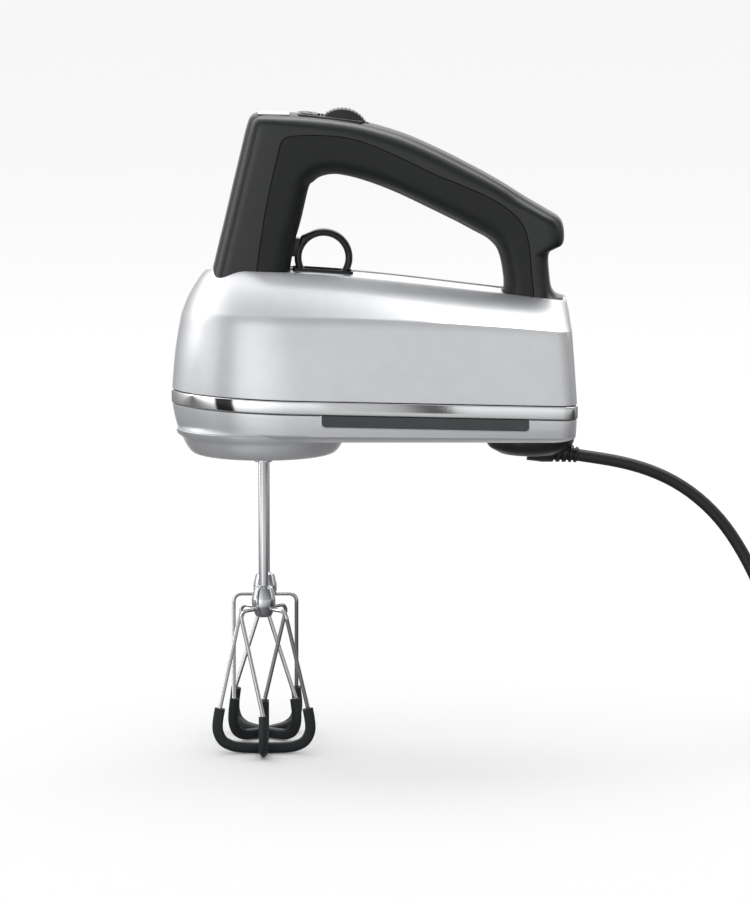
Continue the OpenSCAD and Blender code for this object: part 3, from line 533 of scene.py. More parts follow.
# The cap's crown fades out where it is narrower than this half-width.
CROWN_FADE = 8


def capped(rings, crown):
    """Closes the last ring, symmetric in y, with a grid that crowns towards the middle."""
    verts, faces = rings_mesh(rings, caps=False)
    n = len(rings[0])
    half = n // 2
    base = (len(rings) - 1) * n
    index = {}
    for i in range(half + 1):
        left, right = rings[-1][i], rings[-1][(n - i) % n]
        for k in range(2 * CAP_STEPS + 1):
            if k == 0 or i in (0, half):
                index[i, k] = base + i
            elif k == 2 * CAP_STEPS:
                index[i, k] = base + n - i
            else:
                t = 1 - k / CAP_STEPS
                x, y, z = left[0], left[1] * t, left[2]
                share = min(1, abs(left[1]) / CROWN_FADE)
                verts.append((x, y, z + crown * (1 - t * t) * share))
                index[i, k] = len(verts) - 1
    for i in range(half):
        for k in range(2 * CAP_STEPS):
            corners = [index[i, k], index[i + 1, k], index[i + 1, k + 1], index[i, k + 1]]
            face = tuple(dict.fromkeys(corners))
            if len(face) > 2:
                faces.append(face)
    return verts, faces


def shell(outer, inner, crown_out, crown_in):
    """A shell between an outer and an inner set of rings that start at the same open rim."""
    a = capped(outer, crown_out)
    b = capped(inner, crown_in)
    n = len(outer[0])
    verts, faces = join(a, b)
    base = len(a[0])
    for i in range(n):
        j = (i + 1) % n
        faces.append((i, j, base + j, base + i))
    return verts, faces


UPPER_CROWN = 1.0
# The slot under the pull ring: x0, x1, y0, y1, z0, z1.
RING_SLOT = (-42, -11.1, -4.8, 4.8, 228, 252)


def make_upper():
    """The upper shell: flank, crease and shoulder, open below, with the slot for the pull ring."""
    side = spline(UPPER_SIDE[:3], 5)
    edge = [mix(UPPER_SIDE[2], UPPER_SIDE[3], k) for k in (0.45, 0.8)]
    top = spline(UPPER_TOP, 5)
    rows = side + edge + top
    rim = [row_ring(rows[0], upper_height, 0.9, 0.12), row_ring(rows[0], upper_height, 0.35, 0.12),
           row_ring(rows[0], upper_height, 0.08, 0.4)]
    outer = rim + [row_ring(r, upper_height) for r in rows[1:]]
    outer[-1] = [(x, y, z - UPPER_CROWN * min(1, abs(y) / CROWN_FADE)) for x, y, z in outer[-1]]
    inside = [UPPER_SIDE[0], UPPER_SIDE[1], UPPER_SIDE[2], *UPPER_TOP[1:4]]
    inner = [row_ring(r, upper_height, SHELL, 0.12 if i == 0 else -SHELL * (r[0] > 1.2))
             for i, r in enumerate(inside)]
    obj = piece("upper_shell", *shell(outer, inner, UPPER_CROWN, 0.5), SILVER, "housing",
                ("upper_housing",), angle=32)
    cut(obj, *block(*RING_SLOT), angle=32)


BEATER_X, BEATER_Y = -55.3, 21
SPINDLE_HOLE_R = 7.15
SWIVEL_X = 79
SWIVEL_HOLE_R = 7.6
# Height above the turret's lower face, half-length, half-width: its foot flares into the body.
TURRET = [(12.5, 44.6, 37.2), (10.2, 43.9, 36.8), (9.1, 42.3, 36.2), (7.8, 41.0, 35.8), (6.0, 40.2, 35.5),
          (4.2, 39.2, 35.0), (2.4, 38.1, 34.4), (1.3, 37.2, 33.8), (0.45, 36.2, 33.0), (0, 35.0, 32.0)]
TURRET_Z = 151


def ellipse_ring(row, steps=96):
    """One level of the turret."""
    return [(BEATER_X + row[1] * cos(2 * pi * k / steps), row[2] * sin(2 * pi * k / steps),
             TURRET_Z + row[0]) for k in range(steps)]


def disc(x, y, z0, z1, r):
    """An upright cylinder."""
    return lathe([(r, z0), (r, z1)], 48, lambda u, v, h: (x + u, y + v, h))


def make_lower():
    """The lower shell with its swivel hole, and the turret with the two spindle holes."""
    side = spline(LOWER_SIDE, 4)
    edge = spline(LOWER_EDGE, 5)
    rim = [row_ring(side[0], lower_height, 0.9, -0.12), row_ring(side[0], lower_height, 0.3, -0.12),
           row_ring(side[0], lower_height, 0.06, -0.4)]
    outer = rim + [row_ring(r, lower_height) for r in side[1:] + edge[1:]]
    inner = [row_ring(LOWER_SIDE[0], lower_height, SHELL, -0.12),
             row_ring(LOWER_SIDE[2], lower_height, SHELL),
             row_ring(LOWER_EDGE[2], lower_height, SHELL, SHELL)]
    case = piece("lower_shell", *shell(outer, inner, 0, 0), SILVER, "housing", ("lower_housing",),
                 angle=32)
    turret = piece("turret", *rings_mesh([ellipse_ring(r) for r in TURRET]), SILVER, "housing",
                   angle=40)
    for y in (BEATER_Y, -BEATER_Y):
        cut(turret, *disc(BEATER_X, y, 140, 156, SPINDLE_HOLE_R), angle=40)
    cut(case, *disc(SWIVEL_X, 0, 150, 172, SWIVEL_HOLE_R), angle=32)


def make_band():
    """The chrome band: a proud rounded strip on a tongue that fills the joints, coloured dark as painted
    shade in the gaps beside the strip.
    """
    proud = [(0.55, 0.3), (0.25, 0.34), (0.06, 0.5), (0, 0.85), (0, BAND_H - 0.85),
             (0.06, BAND_H - 0.5), (0.25, BAND_H - 0.34), (0.55, BAND_H - 0.3), (1.3, BAND_H - 0.3),
             (1.3, 0.3)]
    row = (0, 0, 0, 0, 0, 66)
    rings = [both_sides([(x, y, band_bottom(x) + z) for x, y in plan(row, d)]) for d, z in proud]
    piece("chrome_strip", *rings_mesh(rings, wrap=True), CHROME, "housing", ("trim_band",), angle=50)
    tongue = [(1.25, -1.2), (1.25, BAND_H + 1.2), (2.1, BAND_H + 1.2), (2.1, -1.2)]
    rings = [both_sides([(x, y, band_bottom(x) + z) for x, y in plan(row, d)]) for d, z in tongue]
    # The tongue's dark colour is painted shade in the gaps beside the chrome strip.
    piece("strip_carrier", *rings_mesh(rings, wrap=True), GAP_SHADE, "housing")


RAIL_X = (-25.9, 77.5)
RAIL_H = 5.8


def side_y(x, level):
    """Half-width of the lower shell on its straight flank."""
    rows = LOWER_SIDE
    a, b = (rows[0], rows[1]) if level < rows[1][0] else (rows[1], rows[2])
    row = mix(a, b, (level - a[0]) / (b[0] - a[0]))
    x0, x1 = NOSE_X + row[1] + row[5], HEEL_X - row[2] - CORNER_R
    return lerp(FRONT_HALF - row[3], REAR_HALF - row[4], (x - x0) / (x1 - x0))


def flank_patch(side, grow, out_from, out_to, corner):
    """A slab on the flank under the band, with its lower corners rounded."""
    levels, across = 9, 40
    rings = []
    for face in (out_from, out_to):
        grid = []
        for k in range(levels):
            depth = (RAIL_H + grow) * (k / (levels - 1))
            up = RAIL_H + grow - depth
            tuck = corner - sqrt(max(corner ** 2 - max(corner - up, 0) ** 2, 0))
            x0, x1 = RAIL_X[0] - grow + tuck, RAIL_X[1] + grow - tuck
            row = []
            for i in range(across + 1):
                x = lerp(x0, x1, i / across)
                z = band_bottom(x) - 0.02 - depth
                level = depth / (band_bottom(x) - FLOOR_Z)
                row.append((x, side * (side_y(x, min(level, 0.75)) + face), z))
            grid.append(row)
        rings.append(grid)
    back, front = rings
    width = across + 1
    verts = [v for row in back for v in row] + [v for row in front for v in row]
    base = levels * width
    faces = []
    for k in range(levels - 1):
        for i in range(across):
            a = k * width + i
            faces.append((a, a + 1, a + width + 1, a + width))
            faces.append((base + a, base + a + width, base + a + width + 1, base + a + 1))
    edge = list(range(width)) + [k * width + across for k in range(1, levels)] \
        + [(levels - 1) * width + i for i in range(across - 1, -1, -1)] \
        + [k * width for k in range(levels - 2, 0, -1)]
    for a, b in zip(edge, edge[1:] + edge[:1]):
        faces.append((a, b, base + b, base + a))
    return verts, faces


def make_rails():
    """The dark guide rail in each flank, in its silver rim."""
    for side, name in ((-1, "left"), (1, "right")):
        rim = piece(name + "_rail_rim", *flank_patch(side, 0.55, -0.9, 0.08, 2.5), SILVER, "housing",
                    angle=30)
        bevelled(rim, 0.06, 2, 50)
        insert = piece(name + "_rail_insert", *flank_patch(side, 0, -1.2, 0.16, 2.0), RAIL,
                       "housing", (name + "_case_rail",), angle=30)
        bevelled(insert, 0.12, 3, 50)


make_upper()
make_lower()
make_band()
make_rails()


# ---- handle
HANDLE_HALF = 14.5
# Along the handle, from the front foot to the heel foot: outer line, seam and inner line.
STATIONS = [
    ((-81.6, 238.5), (-59.4, 238), (-42.4, 238)), ((-80.2, 244.7), (-58.5, 244), (-42.0, 243.5)),
    ((-77, 258), (-56.6, 258), (-39.4, 258)), ((-75.2, 265.3), (-55.4, 265), (-37.4, 265)),
    ((-73.6, 272), (-54.4, 272), (-35.6, 272)), ((-69.8, 288), (-51.2, 288), (-32.4, 285.5)),
    ((-66.2, 303), (-48, 301.5), (-30.2, 288.2)), ((-62.9, 316.3), (-46.5, 307.6), (-28.2, 289.9)),
    ((-60.6, 321), (-45, 310), (-26.8, 290.7)), ((-56, 322.5), (-42.6, 311.6), (-24.8, 291.4)),
    ((-46, 322.4), (-37, 312.3), (-21.8, 292)), ((-33, 321.6), (-27, 312.4), (-17.3, 292)),
    ((-18, 319.8), (-14, 311.3), (-9.4, 290.4)), ((-3, 317.2), (-1, 307.6), (1.2, 287)),
    ((15, 311.8), (14, 301), (13.2, 282.1)), ((32, 304.4), (30, 293.2), (28.2, 274.9)),
    ((48, 296.3), (45, 287), (41.2, 268.5)), ((61.5, 288.9), (57, 281.7), (50, 263.8)),
    ((75.5, 280.3), (65.5, 276.6), (56.6, 260.2)), ((86, 274.2), (71.5, 271.6), (60.4, 256.8)),
    ((92.3, 270.3), (74.6, 267.5), (62.2, 254.2)), ((94.6, 266.5), (76.2, 263.8), (63.2, 251.7)),
    ((95.3, 261), (77.2, 260), (63.9, 249.3)), ((94.6, 256.8), (77.9, 256.6), (64.4, 247)),
    ((91.5, 254.9), (78.3, 253.6), (64.8, 244.8)), ((88.6, 253.3), (78.5, 251), (65.1, 242.6)),
    ((87.4, 250), (78.7, 248), (65.4, 240.6)), ((87.8, 242.5), (79.3, 241), (65.6, 238)),
    ((88.9, 235), (80, 234.8), (65.5, 235)), ((91.5, 231.3), (80.3, 231.5), (64.3, 233)),
    ((95, 229.5), (80.6, 229), (63, 231.5)), ((95.4, 226), (80.8, 226), (62.6, 226))]
SEAM_HALF = 0.24
HANDLE_STEPS = 5
# Radius of the rounded sides, height of the crown, reach of the tongue past the seam.
COVER = (8.5, 0.5, -0.8)
GRIP_SIDE = (9.5, 0.3, 1.4)
# The tongue's distance from the flank at the seam and at its tip.
TONGUE_IN = (2.2, 2.4)
# The rounding's greatest share of a section's depth.
ROUND_SHARE = 0.86
WHEEL_AT = (-15.8, 311)
WHEEL_R, WHEEL_W = 14, 9
TOP_SLOPE = radians(6.8)
TOP_AT = (-38, 321.9)
DISPLAY_SLOPE = radians(1.5)
DISPLAY_AT = (-50, 322.3)
POST_LEAN = radians(9.8)
POST_FOOT = (-41.1, 244.3)
# Room round the wheel, outside its rim and beside it.
WHEEL_ROOM = (0.8, 0.5)
# The button's opening in the handle's top: x0, x1, y0, y1.
BUTTON_POCKET = (1.5, 11.2, -6.6, 6.6)


def handle_lines():
    """Points of the outer line, the seam and the inner line along the handle."""
    flat = spline([a + b + c for a, b, c in STATIONS], HANDLE_STEPS)
    return [(Vector(p[0:2]), Vector(p[2:4]), Vector(p[4:6])) for p in flat]


def cap_profile(depth, half, r, crown, steps=8):
    """From one side, over a rounded end that crowns by a little, to the other: (y, depth)."""
    r = min(r, depth * ROUND_SHARE)
    right = [(half - r + r * cos(t), r - r * sin(t))
             for t in (radians(90 * k / steps) for k in range(steps + 1))]
    flat = half - r
    middle = [(flat * (1 - k / 4), -crown * (1 - (1 - k / 4) ** 2)) for k in range(1, 4)]
    return right + middle + [(0, -crown)] + [(-y, d) for y, d in reversed(right + middle)]


def section_ring(edge, seam, half, r, crown, tongue):
    """A ring from the seam at one side, over the edge, back to the seam, then across it."""
    span = seam - edge
    depth = span.length
    away = span.normalized()
    outline = [(half, depth)] + cap_profile(depth, half, r, crown) + [(-half, depth)]
    root, tip = TONGUE_IN
    outline += [(-half + root, depth), (-half + tip, depth + tongue), (half - tip, depth + tongue),
                (half - root, depth)]
    return [((edge + away * d).x, y, (edge + away * d).y) for y, d in outline]


def make_handle():
    """The handle's hard cover and its softer inner grip, joined by a tongue at the seam."""
    shell_rings, grip_rings = [], []
    for outer, seam, inner in handle_lines():
        gap = (inner - outer).normalized() * SEAM_HALF
        shell_rings.append(section_ring(outer, seam - gap, HANDLE_HALF, *COVER))
        grip_rings.append(section_ring(inner, seam + gap, HANDLE_HALF - 0.2, *GRIP_SIDE))
    upper = piece("handle_cover", *rings_mesh(shell_rings), CHARCOAL, "housing", ("handle_shell",))
    lower = piece("handle_soft_grip", *rings_mesh(grip_rings), GRIP, "housing", ("handle_grip",))
    cut(upper, *wheel_pocket())
    cut(lower, *wheel_pocket())
    cut(upper, *mapped(block(*BUTTON_POCKET, -5, 5), on_top))
    cut(upper, *mapped(block(-8.1, 8.1, -9, 9, -1.4, 5), on_display))
    cut(lower, *mapped(block(-9, 4, -4.9, 4.9, -8, 44), in_post))


def mapped(shape, change):
    """A shape with each of its points changed."""
    return [change(v) for v in shape[0]], shape[1]


def turned(p, at, angle):
    """Turns a point about Y, nose up to heel down, then moves it to at."""
    return (at[0] + p[0] * cos(angle) + p[2] * sin(angle), p[1],
            at[1] - p[0] * sin(angle) + p[2] * cos(angle))


def on_top(p):
    """From the control plate's own axes."""
    return turned(p, TOP_AT, TOP_SLOPE)


def on_display(p):
    """From the display window's own axes."""
    return turned(p, DISPLAY_AT, DISPLAY_SLOPE)


def in_post(p):
    """From the front post's own axes."""
    return turned(p, POST_FOOT, POST_LEAN)


def wheel_pocket():
    """The room that the speed wheel turns in."""
    r, half = WHEEL_R + WHEEL_ROOM[0], WHEEL_W / 2 + WHEEL_ROOM[1]
    return lathe([(r, -half), (r, half)], 64, lambda u, v, h: (WHEEL_AT[0] + u, h, WHEEL_AT[1] + v))


def pillow(outline_at, levels, change):
    """A solid from outlines at heights, with levels as (how far the outline grows, height)."""
    rings = [[change((x, y, z)) for x, y in outline_at(grow)] for grow, z in levels]
    return rings_mesh(rings)


def rounded_rect(x0, x1, half_y, r, grow, steps=6):
    """The outline of a rounded rectangle between two x, grown by a little."""
    cx, hx = (x0 + x1) / 2, (x1 - x0) / 2 + grow
    return [(cx + x, y) for x, y in rounded_box(hx, half_y + grow, r + grow, steps)]


def make_controls():
    """The low plate round the controls, the button and the display's lens."""
    bezel = piece("control_plate", *pillow(
        lambda g: rounded_rect(0, 33, 8.4, 2.2, g),
        [(0, -0.4), (0, 0.45), (-0.12, 0.7), (-0.35, 0.85), (-0.7, 0.9)], on_top),
        CHARCOAL, "housing", ("control_bezel",))
    cut(bezel, *mapped(block(*BUTTON_POCKET, -3, 4), on_top))
    cut(bezel, *wheel_pocket())
    bevelled(bezel, 0.18, 2, 40)
    piece("power_pad", *pillow(
        lambda g: rounded_rect(1.8, 10.1, 6.3, 1.4, g),
        [(0, -2), (0, 0.8), (-0.15, 1.15), (-0.5, 1.4), (-1.1, 1.5), (-2.6, 1.42)], on_top),
        CHARCOAL, "button", ("power_button",))
    piece("display_lens", *pillow(
        lambda g: rounded_rect(-8, 8, 8.9, 1.2, g),
        [(0, -1.3), (0, -0.05), (-0.12, 0.1), (-0.4, 0.15)], on_display),
        LENS, "housing", ("display_window",))


def make_wheel():
    """A thumbwheel: a knurled rim between two smooth shoulders, with flat sides."""
    ribs, per_rib = 44, 6
    steps = ribs * per_rib
    half = WHEEL_W / 2
    # Share of the radius, distance from the middle, depth of the knurls.
    near = [(0.28, half, 0), (0.93, half, 0), (0.965, half - 0.25, 0), (0.985, half - 0.9, 0.2),
            (1, half - 1.5, 0.45)]
    levels = [(scale, -y, knurl) for scale, y, knurl in near] + near[::-1]
    rings = []
    for scale, y, knurl in levels:
        ring = []
        for i in range(steps):
            a = 2 * pi * i / steps
            r = WHEEL_R * scale - knurl * (0.5 - 0.5 * cos(ribs * a)) ** 2
            ring.append((WHEEL_AT[0] + r * cos(a), y, WHEEL_AT[1] + r * sin(a)))
        rings.append(ring)
    piece("thumb_wheel", *rings_mesh(rings), CHARCOAL, "dial", ("speed_wheel",), angle=50)


make_handle()
make_controls()
make_wheel()


# ---- pull ring
RING_AT = (-25.1, 249.6)
RING_HOLE = 11
RING_R = 14.6
RING_HALF = 4
# The flared side of the ring beside the post, and the tab that slides in the post.
FLARE = [(-27.6, 264.0), (-34.6, 261.4), (-36.9, 259.2), (-38.8, 250), (-39.4, 243), (-30, 238)]
TAB = [(-36.6, 259.4), (-41.8, 259.6), (-43.4, 250.4), (-38.4, 250.4)]


def reach(outline, angle):
    """How far a ray from the ring's centre goes to leave the outline."""
    dx, dz = cos(angle), sin(angle)
    best = 0
    for (x0, z0), (x1, z1) in zip(outline, outline[1:] + outline[:1]):
        ex, ez = x1 - x0, z1 - z0
        cross = dx * ez - dz * ex
        if abs(cross) < 1e-9:
            continue
        px, pz = x0 - RING_AT[0], z0 - RING_AT[1]
        along = (px * ez - pz * ex) / cross
        share = (px * dz - pz * dx) / cross
        if along > 0 and 0 <= share <= 1:
            best = max(best, along)
    return best


def make_ring():
    """The finger ring with its flared side, and the slider with its stem and fork."""
    steps, corners = 144, 7
    side_r, soft = 1.75, 2.6
    quarter = [radians(90 * i / corners) for i in range(corners + 1)]
    rings = []
    flare = spline(FLARE[:5], 6) + [FLARE[5]]
    for k in range(steps):
        a = 2 * pi * k / steps
        far = max(RING_R, reach(flare, a))
        inner = [(RING_HOLE + side_r - side_r * cos(t), -RING_HALF + soft - soft * sin(t)) for t in quarter]
        outer = [(far - side_r + side_r * sin(t), -RING_HALF + soft - soft * cos(t)) for t in quarter]
        section = inner + outer
        section += [(r, -y) for r, y in reversed(section)]
        rings.append([(RING_AT[0] + r * cos(a), y, RING_AT[1] + r * sin(a)) for r, y in section])
    loop = rings_mesh(rings, wrap=True)
    tab = extruded(TAB, lambda p: (p[0], -RING_HALF, p[1]),
                   lambda p: (p[0], RING_HALF, p[1]))
    stem = join(block(-28.5, -23.5, -3, 3, 213, 236.5), block(-29.5, -23.5, -7, -4.8, 207.2, 215),
                block(-29.5, -23.5, 4.8, 7, 207.2, 215), block(-25.5, -23.5, -7, 7, 207.2, 215),
                block(-29.5, -23.5, -7, 7, 207.2, 208.7))
    piece("finger_ring", *loop, BLACK, "pull_ring", ("eject_trigger",))
    slider = piece("ring_slider", *join(tab, stem), BLACK, "pull_ring")
    bevelled(slider, 0.4, 2)


RING_BEZEL_X = (-40.9, -10.2)
RING_BEZEL_HALF = 5.6
LONG_EDGE = 4


def make_ring_bezel():
    """The thin trim round the slot, which follows the body's top."""
    levels = [(0, -1.2), (0, 0.8), (-0.15, 1.1), (-0.5, 1.3)]
    rings = []
    for grow, dz in levels:
        outline = rounded_rect(*RING_BEZEL_X, RING_BEZEL_HALF, 2.4, grow)
        rings.append([(x, y, ridge(x) + dz) for x, y in subdivided(outline)])
    obj = piece("ring_bezel", *rings_mesh(rings), BLACK, "housing", ("trigger_bezel",))
    cut(obj, *block(-42.5, -11.1, -4.2, 4.2, 232, 260))


def subdivided(outline):
    """An outline whose long edges are split, so that they can follow a curved surface."""
    out = []
    for a, b in zip(outline, outline[1:] + outline[:1]):
        long = sqrt((a[0] - b[0]) ** 2 + (a[1] - b[1]) ** 2) > LONG_EDGE
        count = 4 if long else 1
        out += [mix(a, b, k / count) for k in range(count)]
    return out


make_ring()
make_ring_bezel()


# ---- beaters
HUB_Z = (70.2, 85.5)
SHOULDER_R, SHOULDER_Z = 16, 74.5
BEND_R = 3.8
SLEEVE_Z = 22.4
CAGE_MIDDLE_Z = 22
CAGE_R = 23.8
TWIST = 45
WIRE_R = 1.05
WIRE_SIDES = 14
SHAFT_R = 2.5


def polar(r, a, z):
    """A point from its distance, its angle in degrees and its height."""
    return (r * cos(radians(a)), r * sin(radians(a)), z)


def arm_top(a):
    """Straight out of the hub, then round the shoulder's bend."""
    bend = arc(SHOULDER_R - BEND_R, SHOULDER_Z - BEND_R, BEND_R, 90, 0, 6)
    return [polar(3, a, SHOULDER_Z), polar(6, a, SHOULDER_Z), polar(9, a, SHOULDER_Z)] \
        + [polar(r, a + k * 0.4, z) for k, (r, z) in enumerate(bend)]


def straight(start, end):
    """Points between two ends, close together near each end so that the curve stays straight."""
    return [mix(start, end, k) for k in (0.02, 0.06, 0.2, 0.4, 0.6, 0.8, 0.94, 0.98)]


def arm_low(a, z):
    """From the top of the rubber edge down and in to the shaft's line."""
    return [polar(CAGE_R - 1.6, a, SLEEVE_Z + 0.6), polar(CAGE_R - 0.4, a, 15.5),
            polar(CAGE_R - 0.7, a, 10.5), polar(CAGE_R - 3, a, 6.2), polar(CAGE_R - 7, a, 3.9),
            polar(CAGE_R - 12, a, 2.9), polar(0.01, a, z)]


def loop_low(a, z):
    """The lower part of a wire loop, from one side to the other."""
    return arm_low(a, z) + arm_low(a + 180, z)[5::-1]


def make_beater(side, name, first_angle):
    """A shaft with its hub, two crossed wire loops, and the rubber edges on them."""
    at = (BEATER_X, side * BEATER_Y)

    def here(p):
        return (at[0] + p[0], at[1] + p[1], p[2])

    body = name + "_beater"
    low, high = HUB_Z
    profile = [(0.01, low), (3.4, low), (4.1, low + 0.5), (4.5, low + 1.4), (5.9, low + 5.2),
               (6, low + 5.8), (6, high - 6.3), (5.9, high - 5.7), (4.9, high - 1.4), (4.5, high - 0.6),
               (3.2, high), (SHAFT_R, high + 0.6), (SHAFT_R, 181.5), (SHAFT_R - 0.5, 182.4),
               (SHAFT_R - 0.8, 195.4), (SHAFT_R - 1.2, 196), (0.01, 196)]
    piece(name + "_shaft", *lathe(profile, 48, lambda u, v, h: here((u, v, h))), STEEL, body,
          (name + "_beater_shaft",))
    wires, edges = [], []
    for k, height in ((0, 1.9), (90, 3.9)):
        a = first_angle + k
        first, last = arm_top(a), arm_top(a + 180)[::-1]
        low_part = loop_low(a + TWIST, height)
        path = spline([here(p) for p in first + straight(first[-1], low_part[0]) + low_part
                       + straight(low_part[-1], last[0]) + last], 5)
        wires.append(rings_mesh(tube_rings(path, [WIRE_R] * len(path), WIRE_SIDES)))
    piece(name + "_wires", *join(*wires), STEEL, body, (name + "_beater_wires",))
    for k, height in ((0, 2.6), (90, 2.65)):
        a = first_angle + k + TWIST
        path = spline([here(p) for p in loop_low(a, height)], 6)
        edges.append(rings_mesh(blade_rings(path, at, a)))
    piece(name + "_rubber_edges", *join(*edges), RUBBER, body, (name + "_scraper",), angle=30)


# Section of a rubber edge: (across the loop's plane, outward), pointed outside.
BLADE = [(-2.1, -2.0), (-1.5, -2.7), (1.5, -2.7), (2.1, -2.0), (2.2, 0.2), (1.95, 1.0), (0.45, 2.5),
         (0, 2.62), (-0.45, 2.5), (-1.95, 1.0), (-2.2, 0.2)]


def blade_rings(path, at, angle):
    """The rubber edge's section, carried along the lower part of a loop."""
    across = Vector(polar(1, angle + 90, 0))
    rings = []
    points = [Vector(p) for p in path]
    centre = Vector((*at, CAGE_MIDDLE_Z))
    for i, p in enumerate(points):
        t = (points[min(i + 1, len(points) - 1)] - points[max(i - 1, 0)]).normalized()
        out = t.cross(across).normalized()
        if out.dot(p - centre) < 0:
            out = -out
        rings.append([tuple(p + u * across + v * out) for u, v in BLADE])
    return rings


make_beater(-1, "left", 45)
make_beater(1, "right", 0)


# ---- swivel boot
SLOTS_AT = (92.0, 95.2, 98.4, 101.0)
SLOT_HALF = 0.62
RELIEF_R = (6.6, 3.9)
RELIEF = [(78, 0, 153.2), (84, 0, 152.5), (90, 0, 151.6), (96, 0, 150.6), (103.2, 0, 149.2)]


def make_boot():
    """The cord's swivelling boot: a dished base on the underside and a ribbed strain relief."""
    base = [(0.01, 150.4), (13.5, 150.4), (15.5, 150.8), (20.2, 153.4), (21.4, 154.6), (22.2, 156.4),
            (22.5, 158.2), (22.4, 159.9), (21.9, 160.2), (7.5, 160.2), (7.4, 166.9), (0.01, 166.9)]
    cup = lathe(base, 64, lambda u, v, h: (SWIVEL_X + u, v, h))
    line = spline(RELIEF, 10)
    rings = []
    last = len(line) - 1
    for i in range(last * 4 + 1):
        k = i / (last * 4) * last
        j = min(int(k), last - 1)
        p = mix(line[j], line[j + 1], k - j)
        share = min(max((p[0] - 86) / 17, 0), 1)
        near = min(abs(p[0] - s) for s in SLOTS_AT)
        r = lerp(*RELIEF_R, share) - max(0, 1 - (near / SLOT_HALF) ** 4)
        if p[0] > 102.7:
            r -= 0.5 * (p[0] - 102.7) / 0.5
        rings.append((p, r))
    tube = rings_mesh(tube_rings([p for p, r in rings], [r for p, r in rings], 40))
    piece("swivel_boot", *join(cup, tube), BLACK, "cord_swivel", ("cord_boot",), angle=40)


make_boot()


# ---- carried-over parts
slot_of = {entry["node"]: entry["material_slot"] for entry in frame["record"]["subparts"]}

for node_name, node in frame["nodes"].items():
    if not node.hide_render:
        node.data.materials.clear()
        node.data.materials.append(SLOTS[slot_of[node_name]])


# ---- floor and light, in metres
def stage_material(name, grey):
    """A matt material for the floor."""
    made = bpy.data.materials.new(name)
    made.use_nodes = True
    shader = made.node_tree.nodes["Principled BSDF"]
    shader.inputs["Base Color"].default_value = (grey, grey, grey, 1)
    shader.inputs["Roughness"].default_value = 0.9
    shader.inputs["Specular IOR Level"].default_value = 0
    return made


def panel(name, corners, made):
    """A flat quad with its material, for the floor or a card."""
    mesh = bpy.data.meshes.new(name)
    mesh.from_pydata(corners, [], [(0, 1, 2, 3)])
    obj = bpy.data.objects.new(name, mesh)
    scene.collection.objects.link(obj)
    mesh.materials.append(made)
    return obj


FLOOR_HALF = 12
floor = panel("floor", [(x * FLOOR_HALF, y * FLOOR_HALF, GROUND)
                        for x, y in ((-1, -1), (1, -1), (1, 1), (-1, 1))],
              stage_material("pale_floor", 0.93))
floor.visible_glossy = False


def fill_ramp(ramp, stops):
    """Sets a colour ramp's stops from (position, grey)."""
    while len(ramp.elements) < len(stops):
        ramp.elements.new(0.5)
    for element, (at, grey) in zip(ramp.elements, stops):
        element.position = at
        element.color = (grey, grey, grey, 1)


CARD_X = (-0.062, 0.0190)
CARD_Y = -0.85
CARD_Z = (GROUND + 0.002, 0.3)
# Share of the card's width, from the nose's side, and brightness.
CARD_GREYS = [(0, 0.60), (0.4, 0.55), (0.62, 0.42), (0.78, 0.10), (1, 0.01)]


def strip_card():
    """An upright flat in front, graded from pale to dark, which only reflections show."""
    made = bpy.data.materials.new("graded_card")
    made.use_nodes = True
    nodes, links = made.node_tree.nodes, made.node_tree.links
    where = nodes.new("ShaderNodeTexCoord")
    part = nodes.new("ShaderNodeSeparateXYZ")
    links.new(where.outputs["Object"], part.inputs["Vector"])
    span = nodes.new("ShaderNodeMapRange")
    span.inputs["From Min"].default_value = CARD_X[0]
    span.inputs["From Max"].default_value = CARD_X[1]
    links.new(part.outputs["X"], span.inputs["Value"])
    shade = nodes.new("ShaderNodeValToRGB")
    fill_ramp(shade.color_ramp, CARD_GREYS)
    links.new(span.outputs["Result"], shade.inputs["Fac"])
    glow = nodes.new("ShaderNodeEmission")
    links.new(shade.outputs["Color"], glow.inputs["Color"])
    links.new(glow.outputs["Emission"], nodes["Material Output"].inputs["Surface"])
    card = panel("graded_card", [(CARD_X[0], CARD_Y, CARD_Z[0]), (CARD_X[1], CARD_Y, CARD_Z[0]),
                                 (CARD_X[1], CARD_Y, CARD_Z[1]), (CARD_X[0], CARD_Y, CARD_Z[1])], made)
    card.visible_camera = False
    card.visible_shadow = False
    card.visible_diffuse = False


def soft_light(name, at, target, wide, high, power):
    """A rectangular lamp that looks at a point."""
    data = bpy.data.lights.new(name, "AREA")
    data.shape = "RECTANGLE"
    data.size, data.size_y = wide, high
    data.energy = power
    obj = bpy.data.objects.new(name, data)
    scene.collection.objects.link(obj)
    obj.location = at
    obj.rotation_euler = (Vector(target) - Vector(at)).to_track_quat("-Z", "Y").to_euler()


strip_card()
soft_light("top_softbox", (0, 0.75, 1.7), (0, 0, -0.1), 1.6, 0.8, 6)

# What glossy surfaces see of the studio: brightness by height angle, then by angle round the
# object, from the camera's side towards the nose.
HEIGHTS = [(-180, 1), (-140, 0.3), (-110, 0.15), (-90, 0.12), (-60, 0.14), (-35, 0.26), (-20, 0.50),
           (-10, 0.85), (-3, 1.1), (4, 0.95), (12, 0.75), (25, 0.52), (38, 0.34), (50, 0.32),
           (62, 0.50), (72, 0.72), (84, 0.95), (94, 1.3), (98, 5), (110, 5), (114, 1.8), (135, 1.5),
           (160, 1.2)]
SIDES = [(-180, 1.2), (-168, 1.1), (-150, 0.25), (-90, 0.4), (-35, 0.55), (-12, 0.72), (0, 0.82),
         (12, 0.95), (30, 1.4), (46, 1.75), (48, 0.04), (62, 0.04), (64, 1.75), (92, 1.45),
         (108, 0.8), (124, 0.45), (152, 0.3), (168, 1.1), (180, 1.2)]
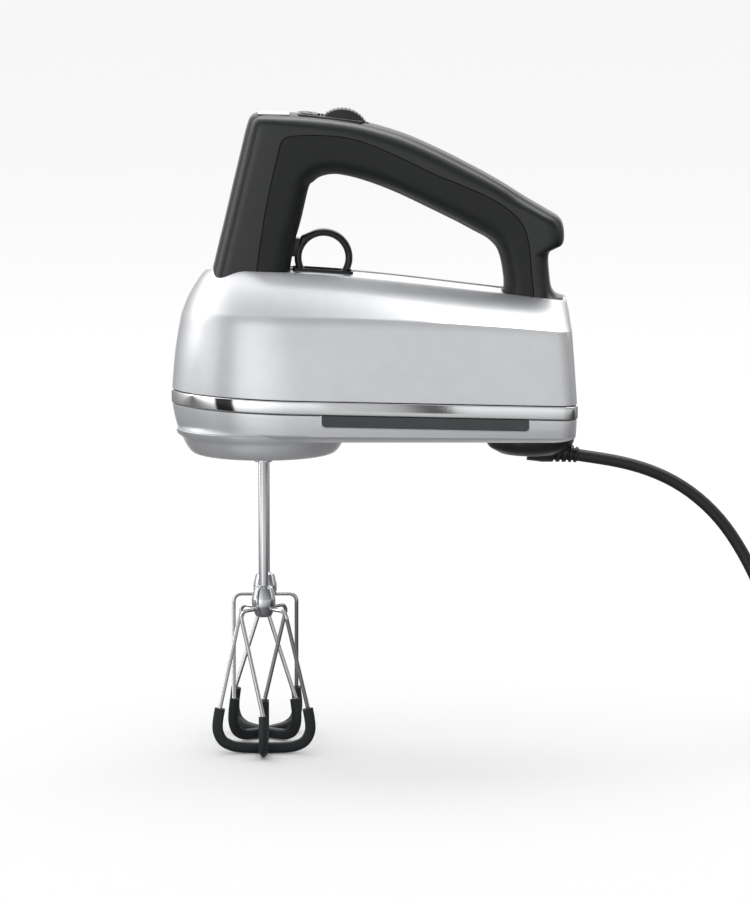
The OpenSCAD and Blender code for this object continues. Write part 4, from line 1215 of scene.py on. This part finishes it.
# How much the second counts, by height above the horizon: not at all overhead and underfoot.
SIDES_COUNT = [(-90, 0), (-62, 0), (-30, 1), (35, 1), (62, 0), (90, 0)]
WHITE = (1, 1, 1, 1)


def build_room(made):
    """A plain white world for the floor and matt surfaces, and studio flats for the glossy ones."""
    nodes, links = made.node_tree.nodes, made.node_tree.links
    background = nodes["Background"]

    def maths(kind, *values):
        node = nodes.new("ShaderNodeMath")
        node.operation = kind
        for socket, value in zip(node.inputs, values):
            if isinstance(value, (int, float)):
                socket.default_value = value
            else:
                links.new(value, socket)
        return node.outputs["Value"]

    def shade_by(angle, stops, furthest):
        share = maths("ADD", maths("DIVIDE", angle, 2 * radians(furthest)), 0.5)
        node = nodes.new("ShaderNodeValToRGB")
        links.new(share, node.inputs["Fac"])
        fill_ramp(node.color_ramp, [((at + furthest) / (2 * furthest), grey) for at, grey in stops])
        return node.outputs["Color"]

    where = nodes.new("ShaderNodeTexCoord")
    parts = nodes.new("ShaderNodeSeparateXYZ")
    links.new(where.outputs["Generated"], parts.inputs["Vector"])
    x, y, z = parts.outputs["X"], parts.outputs["Y"], parts.outputs["Z"]
    front = maths("MULTIPLY", y, -1)
    # Height angle, counted on past 90 degrees over the top to the far side.
    over = shade_by(maths("ARCTAN2", z, front), HEIGHTS, 180)
    round_it = shade_by(maths("ARCTAN2", maths("MULTIPLY", x, -1), front), SIDES, 180)
    counts = shade_by(maths("ARCSINE", z), SIDES_COUNT, 90)
    both = nodes.new("ShaderNodeMix")
    both.data_type = "RGBA"
    both.blend_type = "MULTIPLY"
    links.new(counts, both.inputs["Factor"])
    links.new(over, both.inputs["A"])
    links.new(round_it, both.inputs["B"])
    path = nodes.new("ShaderNodeLightPath")
    glossy = nodes.new("ShaderNodeMix")
    glossy.data_type = "RGBA"
    links.new(path.outputs["Is Glossy Ray"], glossy.inputs["Factor"])
    glossy.inputs["A"].default_value = WHITE
    links.new(both.outputs["Result"], glossy.inputs["B"])
    links.new(glossy.outputs["Result"], background.inputs["Color"])
    background.inputs["Strength"].default_value = 1


world = bpy.data.worlds.new("white_room")
scene.world = world
world.use_nodes = True
world.cycles.sampling_method = "NONE"
build_room(world)
scene.view_settings.view_transform = "Standard"
